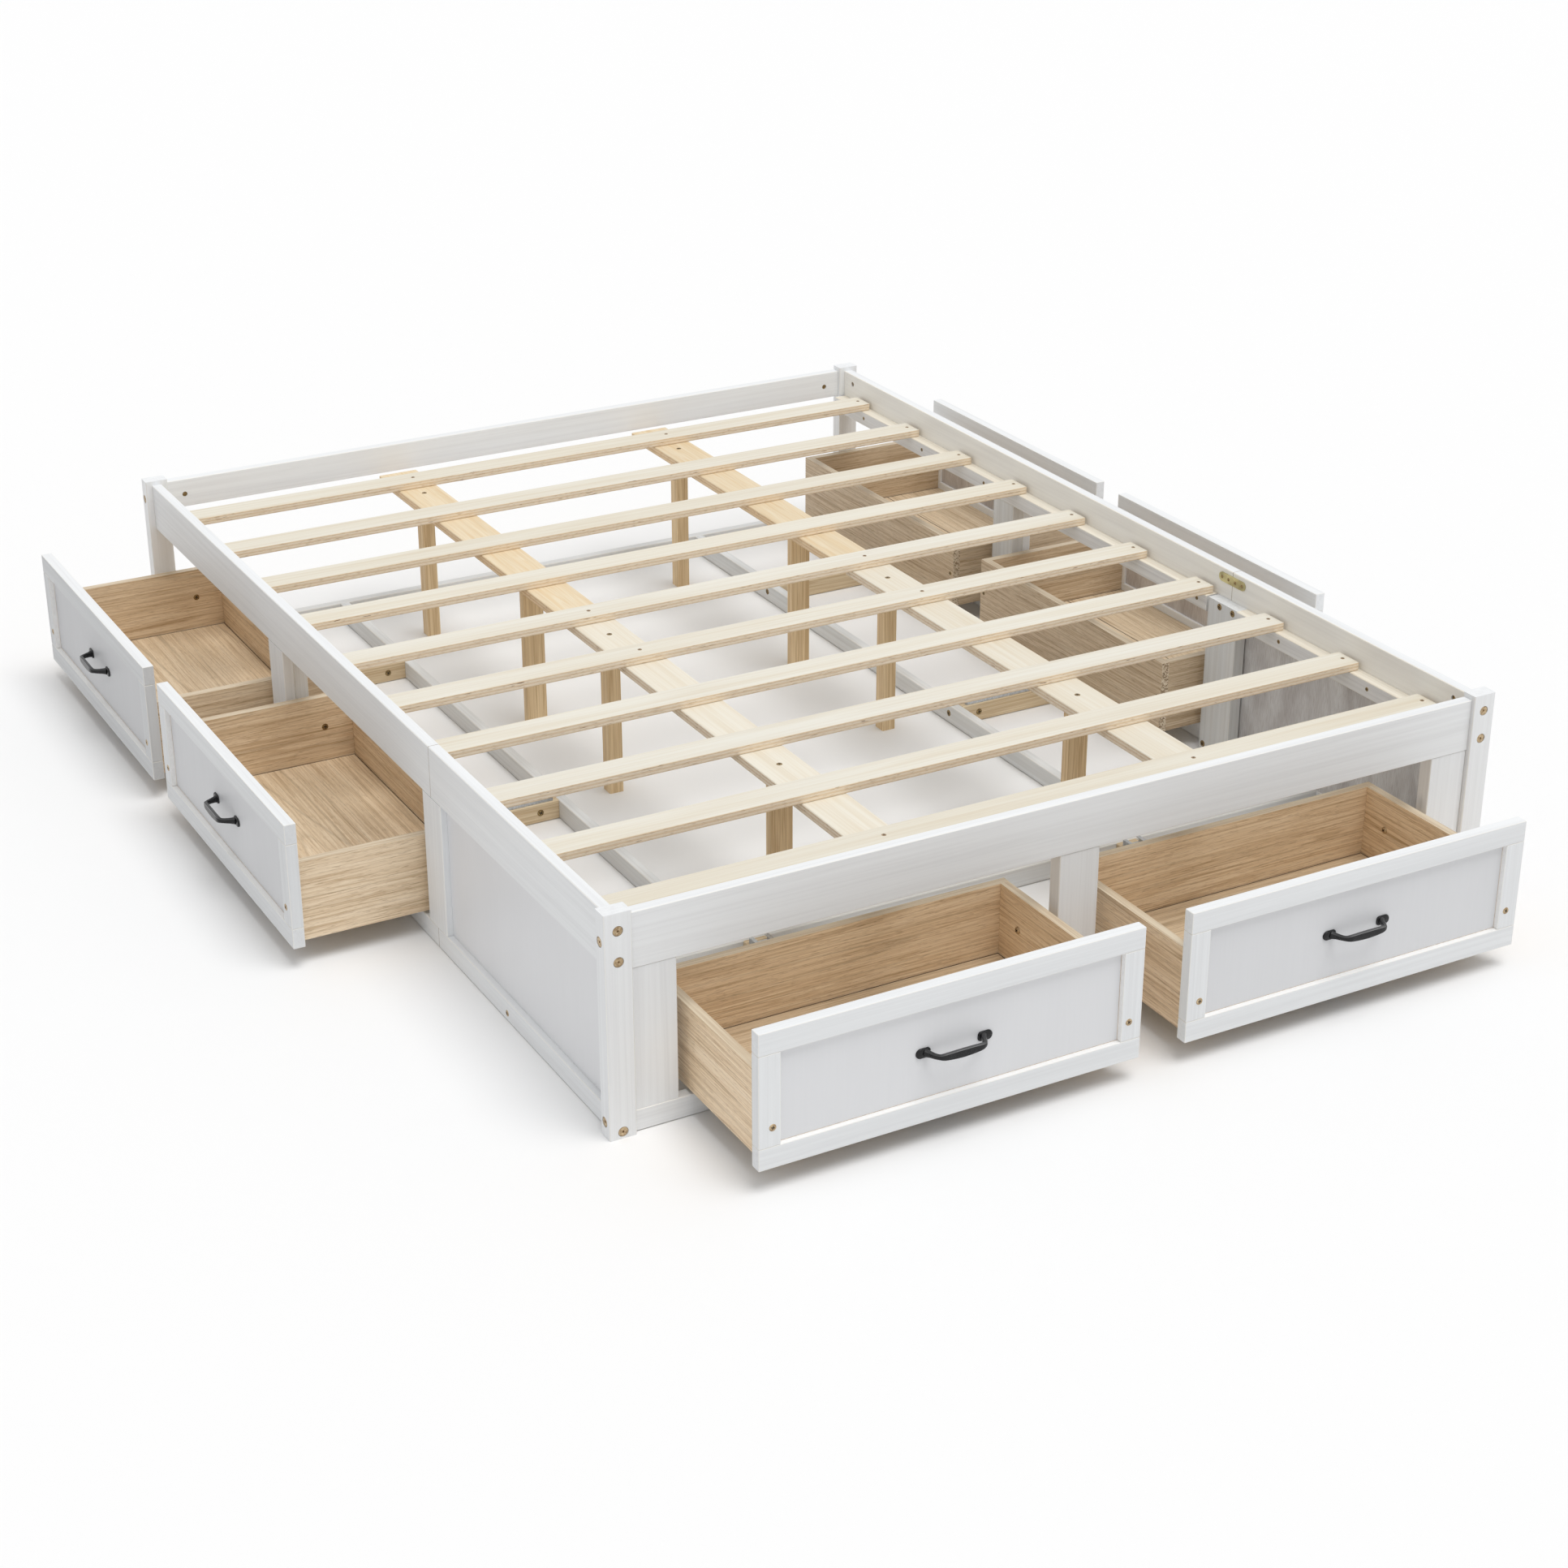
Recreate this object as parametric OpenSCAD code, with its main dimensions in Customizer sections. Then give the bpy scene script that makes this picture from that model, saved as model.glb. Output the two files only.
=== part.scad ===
// Platform bed with six storage drawers, two at the foot and two in each side.
// Bed frame, slat base and drawers in millimetres. X runs across the bed, Y runs
// from the foot (0) to the head, Z is up from the floor. The drawers stand part open.

/* [Bed frame] */
// Width of the bed over the corner posts
frame_w = 1600; // [1450:10:1980]
// Length of the bed over the corner posts
frame_l = 2080; // [1950:10:2200]
// Height of the corner posts
post_h = 364; // [340:2:440]
// Corner post size across the bed
post_w = 43; // [38:1:60]
// Corner post size along the bed
post_d = 28; // [26:1:45]
// Thickness of the rails and other frame boards
board_t = 19; // [16:1:21]
// Height of the top rails at the foot and the sides
rail_h = 89; // [80:1:105]
// Height of the top rail at the head
head_rail_h = 56; // [50:1:90]
// Height of the rails that stand on the floor
base_rail_h = 35; // [30:1:45]
// Width of the uprights between the drawers
stile_w = 72; // [60:1:80]
// Length of the fixed panel in each side
panel_l = 592; // [520:2:640]
// Thickness of the fixed panel
panel_t = 6; // [4:1:8]

/* [Slat base] */
// Number of slats
slat_count = 10; // [8:1:14]
// Width of a slat
slat_w = 54; // [45:1:75]
// Thickness of a slat
slat_t = 15; // [12:1:18]
// Depth of the slats' top face below the rails' top edge
slat_drop = 39; // [30:1:50]
// Width of the ledges that carry the slats
ledger_w = 25; // [20:1:30]
// Height of the ledges that carry the slats
ledger_h = 30; // [20:1:34]
// Width of the two centre boards
centre_w = 80; // [60:1:100]
// Thickness of the centre boards
centre_t = 16; // [12:1:22]
// Side of the square centre legs
leg_square = 27; // [22:1:36]
// Width of the flat centre legs
leg_flat_w = 40; // [30:1:55]
// Thickness of the flat centre legs
leg_flat_t = 18; // [15:1:24]

/* [Drawers] */
// How far the drawers stand open
drawer_open = 230; // [0:5:240]
// Thickness of a drawer front
front_t = 20; // [18:1:22]
// Width of the raised border round a drawer front
border_w = 35; // [28:1:50]
// Depth of the sunk panel in a drawer front
sink = 9; // [5:1:11]
// Length of the drawer box behind its front
box_l = 335; // [300:1:340]
// Height of the drawer box
box_h = 137; // [100:1:150]
// Thickness of the drawer box walls
wall_t = 15; // [12:1:18]
// Thickness of the drawer bottom
bottom_t = 5; // [4:1:6]
// Distance between the feet of a pull
pull_centres = 103; // [90:1:128]
// Height of the pull's feet above the floor
pull_z = 147; // [130:1:170]
// How far a pull stands out of its panel
pull_out = 30; // [26:1:36]

/* [Runners] */
// Width of the wooden bar under each drawer
bar_w = 40; // [34:1:50]
// Width of the steel channel on the bar
channel_w = 34; // [32:1:34]
// Height of the steel channel
channel_h = 12; // [11:1:12]
// Sheet thickness of channel and runner
sheet = 1.5; // [1.2:0.1:1.6]

/* [Fasteners] */
// Diameter of the bolt heads
head_d = 15; // [12:1:16]
// Diameter of the bolt shanks
bolt_d = 6; // [5:1:7]
// Diameter of the barrel nuts
nut_d = 10; // [9:1:11]

/* [Hidden] */
$fn = 24;
fit = 0.2;                 // gap between pieces that are bolted or glued together
edge = 1.2;                // eased edge along every board
clear_floor = 1;           // rails stay this far off the floor
post_rise = 8;             // posts stand this far above the rails
side_set = 12;             // side rails lie this far inside the posts' outer face
foot_set = 7;              // foot rails lie this far behind the posts' front face
head_set = 2;              // head rails lie this far inside the posts' back face

x_out = frame_w / 2;
side_x1 = x_out - side_set;
side_x0 = side_x1 - board_t;
foot_y0 = foot_set;
foot_y1 = foot_y0 + board_t;
head_y1 = frame_l - head_set;
head_y0 = head_y1 - board_t;
in_w = frame_w - 2 * post_w;
y_first = post_d;
y_last = frame_l - post_d;

z_base0 = clear_floor;
z_base = clear_floor + base_rail_h;
z_rail = post_h - post_rise;
z_rail0 = z_rail - rail_h;
z_slat = z_rail - slat_drop;
z_slat0 = z_slat - slat_t;

// side layout from the foot: fixed panel, upright, drawer, upright, drawer
stile_y0 = y_first + panel_l;
stile_y1 = stile_y0 + stile_w;
seam_y = (stile_y0 + stile_y1) / 2;
side_open = (y_last - stile_y1 - stile_w) / 2;
mid_y0 = stile_y1 + side_open;
mid_y1 = mid_y0 + stile_w;
near_y = stile_y1 + side_open / 2;
far_y = mid_y1 + side_open / 2;
foot_open = (in_w - 3 * stile_w) / 2;
foot_x = (stile_w + foot_open) / 2;

// drawers
gap_side = 3;              // gap beside a side drawer's front
gap_foot = 5.5;            // gap beside a foot drawer's front
gap_below = 2;             // gap under a drawer front
gap_above = 11;            // gap over a drawer front
front_side_w = side_open - 2 * gap_side;
front_foot_w = foot_open - 2 * gap_foot;
front_z0 = z_base + gap_below;
front_z1 = z_rail0 - gap_above;
box_inset = 13;            // drawer front laps past the box by this much
box_rise = 5;              // box stands this far above its front's lower edge
box_z0 = front_z0 + box_rise;
bottom_rise = 10;          // bottom lies this far above the box's lower edge
groove_d = 6;              // depth of the groove that holds the bottom
bottom_z0 = box_z0 + bottom_rise;
floor_play = 0.25;         // play of the bottom in its groove
joint_w = 0.7;             // joint lines in the border
joint_d = 0.6;
plug_d = 5;                // dimples in the border's uprights
plug_in = 22;
plug_up = 67;
back_sink = 5;              // depth of the panel behind the border's back
plug_depth = 5;
pull_bore = 4.4;

// runners
runner_top = bottom_z0;
lip = 5;                   // inward lip of the channel
run_play = 0.8;            // play of the moving member inside the channel
neck = channel_w / 2 - sheet - lip - run_play;
flange = channel_w / 2 - sheet - run_play;
channel_start = 4;         // channel starts this far behind a closed front
notch_w = channel_w + 8;
notch_h = runner_top - box_z0 + fit;

// floor structure
back_room = 14;            // room behind a closed drawer box
bar_side_l = front_t + box_l + back_room - board_t;
floor_rail_x = side_x0 - bar_side_l;
cross_y0 = foot_y0 + front_t + box_l + back_room + channel_start;
cross_y1 = cross_y0 + board_t;
bar_foot_l = cross_y0 - foot_y1;

// slat base
slat_end = 7;              // slats stop this far from the side rails
slat_first = 60;           // room between the foot rail and the first slat
slat_last = 74;            // room between the last slat and the head rail
slat_y0 = foot_y1 + slat_first + slat_w / 2;
slat_y1 = head_y0 - slat_last - slat_w / 2;
slat_step = (slat_y1 - slat_y0) / (slat_count - 1);
centre_x = frame_w * 0.1775;
centre_z0 = z_slat0 - centre_t;
ledge_gap = 4;             // ledges end this far from posts and uprights
beam_gap = 14;             // centre boards and ledges start this far behind the foot rail
centre_y0 = foot_y1 + beam_gap;
centre_y1 = head_y0 - board_t;
centre_seam = slat_y0 + slat_step * floor(slat_count / 2);
leg_gap = 28;              // room between the cross rail and the first legs
leg_y = [cross_y1 + leg_gap + leg_flat_t / 2, 0.5067 * frame_l, 0.6683 * frame_l,
    0.9135 * frame_l];

// inner uprights behind the side rails, and the fixed panels between them
inner_t = 24;
inner_w = stile_w + 12;
panel_set = 11;            // panels lie this far behind the rails' outer face
stile_back = 8;            // foot uprights reach this far behind the rails

// bolts: heights of those through the end faces and through the side faces
bore_d = bolt_d + 1;
sink_d = head_d + 1.5;
head_t = 3;                // thickness of a bolt head
socket_d = 4;              // hexagon socket in it
nut_play = 0.4;            // play of a barrel nut in its bore and on its bolt
nut_half = 7;              // half the length of a barrel nut
bore_past = 12;            // bores run this far past the barrel nut
bolt_past = 6;             // bolts run this far past the barrel nut
sunk = 4;                  // depth of a head's counterbore
nut_in = 35;               // barrel nut's distance from the board's end
end_bolt_z = [z_rail - 0.23 * rail_h, z_rail - 0.78 * rail_h, 0.31 * z_base];
foot_bolt_z = [z_rail - 0.44 * rail_h, 0.69 * z_base];
head_bolt_z = [z_rail - 0.55 * head_rail_h, 0.69 * z_base];
side_bolt_x = x_out - side_set - board_t / 2;
foot_bolt_y = foot_y0 + board_t / 2;
head_bolt_y = head_y0 + board_t / 2;

// mending plates over the seams in the side rails
plate_l = 76;
plate_w = 17;
plate_t = 2;
plate_z = z_rail - 17;
plate_holes = [-0.38, -0.13, 0.13, 0.38] * plate_l;
screw_d = 3;
screw_head_d = 6.4;
screw_head_t = 1.4;
screw_l = 14;
plate_hole_d = 4.5;

// pulls: flat feet, slanting necks and a straight grip, a blade tallest in the middle
foot_l = 22;
foot_h = 13;
foot_t = 3;
grip_r = 3.9;              // half the grip's depth
grip_sides = 10;
grip_rise = 1;             // the grip lies this far above the middle of its feet
// stations from neck to middle: share of the way out along the front, share of the
// reach, and the grip's half height
grip_line = [[0.89, 0.1, 4.6], [0.8, 0.68, 4.2], [0.67, 0.98, 4.4], [0.3, 1, 5.4]];
pull_front = pull_out - sink;

// the origin lies on the floor in the middle of everything, open drawers included
y_mid = (frame_l + foot_y0 - drawer_open - pull_front) / 2;

washed = [0.87, 0.87, 0.86];
washed_in = [0.80, 0.79, 0.78];
birch = [0.92, 0.89, 0.80];
pine = [0.86, 0.72, 0.52];
oak = [0.72, 0.60, 0.44];
iron = [0.08, 0.08, 0.08];
steel = [0.62, 0.64, 0.66];
brass = [0.66, 0.55, 0.33];

// ---- helpers ----

module eased(w, h, c = edge) {
    polygon([[c, 0], [w - c, 0], [w, c], [w, h - c], [w - c, h], [c, h], [0, h - c], [0, c]]);
}

// board whose long edges run along X, between two opposite corners
module board_x(p, q) {
    translate(p)
        rotate([90, 0, 90])
            linear_extrude(q[0] - p[0]) eased(q[1] - p[1], q[2] - p[2]);
}

module board_y(p, q) {
    translate([p[0], q[1], p[2]])
        rotate([90, 0, 0])
            linear_extrude(q[1] - p[1]) eased(q[0] - p[0], q[2] - p[2]);
}

module board_z(p, q) {
    translate(p)
        linear_extrude(q[2] - p[2]) eased(q[0] - p[0], q[1] - p[1]);
}

module both_sides() {
    children();
    mirror([1, 0, 0]) children();
}

module rod_x(x0, x1, y, z, d) {
    translate([x0, y, z]) rotate([0, 90, 0]) cylinder(h = x1 - x0, d = d);
}

module rod_y(y0, y1, x, z, d) {
    translate([x, y1, z]) rotate([90, 0, 0]) cylinder(h = y1 - y0, d = d);
}

// ---- corner posts ----

// right-hand post standing in its corner; bolt_y and heights as the end rails need
module post(bolt_y, cross_z) {
    difference() {
        board_z([x_out - post_w, 0, 0], [x_out, post_d, post_h]);
        for (z = end_bolt_z) {
            rod_y(-1, post_d + 1, side_bolt_x, z, bore_d);
            rod_y(-1, sunk, side_bolt_x, z, sink_d);
        }
        for (z = cross_z) {
            rod_x(x_out - post_w - 1, x_out + 1, bolt_y, z, bore_d);
            rod_x(x_out - sunk, x_out + 1, bolt_y, z, sink_d);
        }
    }
}

module foot_post() {
    color(washed) post(foot_bolt_y, foot_bolt_z);
}

module head_post() {
    color(washed)
        translate([0, frame_l, 0])
            mirror([0, 1, 0]) post(frame_l - head_bolt_y, head_bolt_z);
}

// ---- rails across the bed ----

// bores at both ends of a board that runs across the bed; the one for the barrel nut
// is blind and opens to the inside, d being the direction from the board to there
module cross_bores(y, z, d) {
    closed = y - d * (nut_half + nut_play);
    open = y + d * board_t;
    both_sides() {
        rod_x(in_w / 2 - nut_in - bore_past, in_w / 2 + 1, y, z, bore_d);
        rod_y(min(closed, open), max(closed, open), in_w / 2 - nut_in, z, nut_d + nut_play);
    }
}

module cross_rail(y0, z0, z1, bolt_z, d) {
    difference() {
        board_x([-in_w / 2 + fit, y0, z0], [in_w / 2 - fit, y0 + board_t, z1]);
        cross_bores(y0 + board_t / 2, bolt_z, d);
    }
}

module foot_top_rail() {
    color(washed) cross_rail(foot_y0, z_rail0, z_rail, foot_bolt_z[0], 1);
}

module foot_base_rail() {
    color(washed) cross_rail(foot_y0, z_base0, z_base, foot_bolt_z[1], 1);
}

module head_top_rail() {
    color(washed) cross_rail(head_y0, z_rail - head_rail_h, z_rail, head_bolt_z[0], -1);
}

module head_base_rail() {
    color(washed_in) cross_rail(head_y0, z_base0, z_base, head_bolt_z[1], -1);
}

// uprights between the foot drawers, a little deeper than the rails
module foot_stiles() {
    inner = in_w / 2 - stile_w;
    color(washed)
        for (x = [-in_w / 2 + fit, -stile_w / 2, inner - fit])
            board_z([x, foot_y0 + 1, z_base + fit],
                [x + stile_w, foot_y1 + stile_back, z_rail0 - fit]);
}

// ---- sides ----

// bores where a side board's end meets a post; y_end is that end, d its direction,
// and the barrel nut's bore is blind from the inside
module end_bores(y_end, d, heights) {
    far = y_end + d * (nut_in + bore_past);
    closed = side_bolt_x + nut_half + nut_play;
    for (z = heights) {
        rod_y(min(y_end - d, far), max(y_end - d, far), side_bolt_x, z, bore_d);
        rod_x(side_x0 - 1, closed, y_end + d * nut_in, z, nut_d + nut_play);
    }
}

module side_rail() {
    z_bolts = [end_bolt_z[0], end_bolt_z[1]];
    color(washed) difference() {
        union() {
            board_y([side_x0, y_first + fit, z_rail0], [side_x1, seam_y - fit / 2, z_rail]);
            board_y([side_x0, seam_y + fit / 2, z_rail0], [side_x1, y_last - fit, z_rail]);
        }
        end_bores(y_first, 1, z_bolts);
        end_bores(y_last, -1, z_bolts);
        for (k = plate_holes)
            rod_x(side_x0 - 1, side_x0 + screw_l, seam_y + k, plate_z, screw_d + 2 * fit);
    }
}

module side_base_rail() {
    color(washed) difference() {
        union() {
            board_y([side_x0, y_first + fit, z_base0], [side_x1, seam_y - fit / 2, z_base]);
            board_y([side_x0, seam_y + fit / 2, z_base0], [side_x1, y_last - fit, z_base]);
        }
        end_bores(y_first, 1, [end_bolt_z[2]]);
        end_bores(y_last, -1, [end_bolt_z[2]]);
    }
}

module side_panels() {
    x1 = side_x1 - panel_set;
    color(washed) both_sides()
        translate([x1 - panel_t, y_first + fit, z_base + fit])
            cube([panel_t, panel_l - 2 * fit, z_rail0 - z_base - 2 * fit]);
}

module side_stiles() {
    color(washed) both_sides()
        for (y = [stile_y0, mid_y0])
            board_z([side_x0, y, z_base + fit], [side_x1, y + stile_w, z_rail0 - fit]);
}

// uprights behind the seam in the side rails and behind the post between the drawers
module inner_uprights() {
    x0 = side_x0 - fit - inner_t;
    x1 = side_x0 - fit;
    color(washed_in) both_sides() {
        board_z([x0, stile_y1 - inner_w, z_base0], [x1, stile_y1, z_slat0 - fit]);
        board_z([x0, mid_y0, z_base0], [x1, mid_y1, z_slat0 - ledger_h - fit]);
    }
}

module ledgers() {
    x0 = side_x0 - fit - ledger_w;
    x1 = side_x0 - fit;
    z0 = z_slat0 - ledger_h;
    color(birch) both_sides() {
        board_y([x0, foot_y1 + beam_gap, z0], [x1, stile_y1 - inner_w - 1, z_slat0]);
        board_y([x0, stile_y1 + ledge_gap, z0], [x1, y_last - ledge_gap, z_slat0]);
    }
}

// ---- floor structure and runners ----

module floor_rails() {
    color(washed_in) both_sides()
        board_y([floor_rail_x - board_t, cross_y1 + fit, z_base0],
            [floor_rail_x - fit, head_y0 - fit, z_base]);
}

module foot_cross_rail() {
    color(washed_in)
        board_x([-side_x0 + fit, cross_y0, z_base0], [side_x0 - fit, cross_y1, z_base]);
}

module runner_bars() {
    color(pine) both_sides() {
        board_y([foot_x - bar_w / 2, foot_y1 + fit, z_base0],
            [foot_x + bar_w / 2, cross_y0 - fit, z_base]);
        for (y = [near_y, far_y])
            board_x([floor_rail_x, y - bar_w / 2, z_base0],
                [side_x0 - fit, y + bar_w / 2, z_base]);
    }
}

// open channel seen from its end, standing on z = 0
module channel_profile() {
    h = channel_w / 2;
    polygon([[-h, 0], [h, 0], [h, channel_h], [h - sheet - lip, channel_h],
        [h - sheet - lip, channel_h - sheet], [h - sheet, channel_h - sheet],
        [h - sheet, sheet], [-h + sheet, sheet], [-h + sheet, channel_h - sheet],
        [-h + sheet + lip, channel_h - sheet], [-h + sheet + lip, channel_h],
        [-h, channel_h]]);
}

// moving member: a hat section whose turned-up flanges run under the channel's lips
module runner_profile() {
    h = runner_top - z_base;
    low = sheet + run_play;
    held = channel_h - sheet - run_play;
    for (s = [0, 1]) mirror([s, 0]) {
        translate([neck - sheet, low]) square([flange - neck + sheet, sheet]);
        translate([flange - sheet, low]) square([sheet, held - low]);
        translate([neck - sheet, low]) square([sheet, h - low]);
    }
    translate([-neck, h - sheet]) square([2 * neck, sheet]);
}

// extrude a profile inward from the face of a closed drawer front
module along_runner(from, l) {
    translate([0, from + l, z_base]) rotate([90, 0, 0]) linear_extrude(l) children();
}

module runner_channels() {
    color(steel)
        for (i = [0 : 5])
            place(i, 0) along_runner(front_t + channel_start, box_l) channel_profile();
}

// ---- slat base ----

module slats() {
    x = side_x0 - slat_end;
    color(birch)
        for (i = [0 : slat_count - 1])
            board_x([-x, slat_y0 + i * slat_step - slat_w / 2, z_slat0 + fit],
                [x, slat_y0 + i * slat_step + slat_w / 2, z_slat]);
}

module centre_boards() {
    x0 = centre_x - centre_w / 2;
    x1 = centre_x + centre_w / 2;
    color(pine) both_sides() {
        board_y([x0, centre_y0, centre_z0], [x1, centre_seam - fit, z_slat0]);
        board_y([x0, centre_seam + fit, centre_z0], [x1, centre_y1, z_slat0]);
    }
}

module legs(w, d, places) {
    color(pine) both_sides()
        for (y = places)
            board_z([centre_x - w / 2, y - d / 2, 0],
                [centre_x + w / 2, y + d / 2, centre_z0 - fit]);
}

module square_legs() {
    legs(leg_square, leg_square, [leg_y[1], leg_y[3]]);
}

module flat_legs() {
    legs(leg_flat_w, leg_flat_t, [leg_y[0], leg_y[2]]);
}

// ---- fasteners ----

module mending_plates() {
    color(brass) both_sides()
        translate([side_x0 - fit - plate_t, seam_y, plate_z])
            rotate([90, 0, 90]) linear_extrude(plate_t) difference() {
                union() {
                    square([plate_l - plate_w, plate_w], center = true);
                    for (s = [-1, 1])
                        translate([s * (plate_l - plate_w) / 2, 0]) circle(d = plate_w);
                }
                for (k = plate_holes)
                    translate([k, 0]) circle(d = plate_hole_d);
            }
}

// screws that hold the plates: domed heads on the plates, shanks in the rails
module plate_screws() {
    x = side_x0 - fit - plate_t - fit;
    color(brass) both_sides()
        for (k = plate_holes)
            translate([x, seam_y + k, plate_z]) rotate([0, 90, 0]) {
                cylinder(h = screw_l, d = screw_d);
                mirror([0, 0, 1]) cylinder(h = screw_head_t, d1 = screw_head_d, d2 = screw_d);
            }
}

// bolt along +Z with its head at the bottom, hexagon socket in the head
module bolt(l) {
    difference() {
        union() {
            cylinder(h = head_t, d = head_d);
            cylinder(h = l, d = bolt_d);
        }
        translate([0, 0, -1]) cylinder(h = head_t, d = socket_d, $fn = 6);
    }
}

module corner_bolts(bolt_y, cross_z) {
    for (z = end_bolt_z)
        translate([side_bolt_x, sunk - head_t - fit, z])
            rotate([-90, 0, 0]) bolt(post_d + nut_in + bolt_past);
    for (z = cross_z)
        translate([x_out - sunk + head_t + fit, bolt_y, z])
            rotate([0, -90, 0]) bolt(post_w + nut_in + bolt_past);
}

module frame_bolts() {
    color(brass) both_sides() {
        corner_bolts(foot_bolt_y, foot_bolt_z);
        translate([0, frame_l, 0])
            mirror([0, 1, 0]) corner_bolts(frame_l - head_bolt_y, head_bolt_z);
    }
}

// barrel nuts: short rods across the boards, with a hole for the bolt
module nut_across_y(y, z) {
    difference() {
        rod_y(y - nut_half, y + nut_half, in_w / 2 - nut_in, z, nut_d);
        rod_x(in_w / 2 - nut_in - nut_d, in_w / 2 - nut_in + nut_d, y, z, bolt_d + nut_play);
    }
}

module nut_across_x(y, z) {
    difference() {
        rod_x(side_bolt_x - nut_half, side_bolt_x + nut_half, y, z, nut_d);
        rod_y(y - nut_d, y + nut_d, side_bolt_x, z, bolt_d + nut_play);
    }
}

module barrel_nuts() {
    color(brass) both_sides() {
        for (z = end_bolt_z) {
            nut_across_x(y_first + nut_in, z);
            nut_across_x(y_last - nut_in, z);
        }
        for (z = foot_bolt_z) nut_across_y(foot_bolt_y, z);
        for (z = head_bolt_z) nut_across_y(head_bolt_y, z);
    }
}

// ---- drawers ----

// drawer places: 0 foot left, 1 foot right, 2 left near, 3 left far, 4 right near,
// 5 right far; out is how far the front's face stands off its closed place
module place(i, out) {
    if (i < 2)
        translate([i == 0 ? -foot_x : foot_x, foot_y0 - out, 0]) children();
    else if (i < 4)
        translate([-side_x1 - out, i == 2 ? near_y : far_y, 0])
            rotate([0, 0, -90]) children();
    else
        translate([side_x1 + out, i == 4 ? near_y : far_y, 0])
            rotate([0, 0, 90]) children();
}

function front_w(i) = i < 2 ? front_foot_w : front_side_w;
function box_w(i) = front_w(i) - 2 * box_inset;

// drawer front: a border that stands out on both sides of its panel, with joint lines
module drawer_front(i) {
    w = front_w(i);
    h = front_z1 - front_z0;
    color(washed) place(i, drawer_open) difference() {
        board_x([-w / 2, 0, front_z0], [w / 2, front_t, front_z1]);
        translate([-w / 2 + border_w, -1, front_z0 + border_w])
            cube([w - 2 * border_w, sink + 1, h - 2 * border_w]);
        translate([-w / 2 + border_w, front_t - back_sink, front_z0 + border_w])
            cube([w - 2 * border_w, back_sink + 1, h - 2 * border_w]);
        for (s = [-1, 1]) {
            for (z = [front_z0 + border_w, front_z1 - border_w])
                translate([s * (w / 2 - border_w / 2), 0, z])
                    cube([border_w + 2, 2 * joint_d, joint_w], center = true);
            rod_y(-1, plug_depth, s * (w / 2 - plug_in), front_z0 + plug_up, plug_d);
        }
        for (s = [-1, 1])
            rod_y(-1, front_t + 1, s * pull_centres / 2, pull_z, pull_bore);
    }
}

// pull: two foot plates rounded at their outer ends, slanting necks and a straight grip
module drawer_pull(i) {
    c = pull_centres / 2;
    y0 = sink - fit;
    color(iron) place(i, drawer_open) {
        for (s = [-1, 1]) {
            translate([s * c, y0, pull_z]) rotate([90, 0, 0])
                linear_extrude(foot_t) hull() {
                    translate([s * (foot_l - foot_h) / 2, 0]) circle(d = foot_h);
                    translate([-s * foot_h / 2, 0])
                        square([foot_l - foot_h, foot_h], center = true);
                }
            rod_y(y0 + fit, y0 + 10, s * c, pull_z, 4);
        }
        pull_grip(c, y0 - foot_t, sink - pull_out + grip_r * cos(180 / grip_sides));
    }
}

// straight pieces from neck to neck between the stations of grip_line
module pull_grip(c, y_in, y_out) {
    function mirrored(v) = [-v[0], v[1], v[2]];
    line = concat([for (v = grip_line) mirrored(v)],
        [for (k = [len(grip_line) - 1 : -1 : 0]) grip_line[k]]);
    module ball(v)
        translate([c * v[0], y_in + (y_out - y_in) * v[1], pull_z + grip_rise * v[1]])
            scale([1, 1, v[2] / grip_r]) sphere(r = grip_r, $fn = grip_sides);
    for (k = [0 : len(line) - 2])
        hull() {
            ball(line[k]);
            ball(line[k + 1]);
        }
}

// two walls and a back that covers their ends; the bottom sits in their grooves
module drawer_box(i) {
    w = box_w(i);
    y0 = front_t + fit;
    y1 = front_t + box_l;
    z1 = box_z0 + box_h;
    gz = bottom_z0 - floor_play;
    gh = bottom_t + 2 * floor_play;
    color(oak) place(i, drawer_open) {
        for (s = [-1, 1])
            difference() {
                translate([s < 0 ? -w / 2 : w / 2 - wall_t, y0, box_z0])
                    cube([wall_t, y1 - wall_t - fit - y0, box_h]);
                translate([s < 0 ? -w / 2 + wall_t - groove_d : w / 2 - wall_t, y0 - 1, gz])
                    translate([s < 0 ? 0 : -1, 0, 0]) cube([groove_d + 1, box_l, gh]);
            }
        difference() {
            translate([-w / 2, y1 - wall_t, box_z0]) cube([w, wall_t, box_h]);
            translate([-w / 2 + wall_t - groove_d, y1 - wall_t - 1, gz])
                cube([w - 2 * (wall_t - groove_d), groove_d + 1, gh]);
            translate([-notch_w / 2, y1 - wall_t - 1, box_z0 - 1])
                cube([notch_w, wall_t + 2, notch_h + 1]);
        }
    }
}

module drawer_bottom(i) {
    w = box_w(i) - 2 * wall_t + 2 * (groove_d - floor_play);
    y1 = front_t + box_l - wall_t + groove_d - floor_play;
    color(oak) place(i, drawer_open)
        translate([-w / 2, front_t + fit, bottom_z0])
            cube([w, y1 - front_t - fit, bottom_t]);
}

module drawer_runner(i) {
    color(steel) place(i, drawer_open)
        along_runner(front_t + 2, box_l - 2) runner_profile();
}

// ---- one line per node ----

module seat() {
    translate([0, -y_mid, 0]) children();
}

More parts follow.
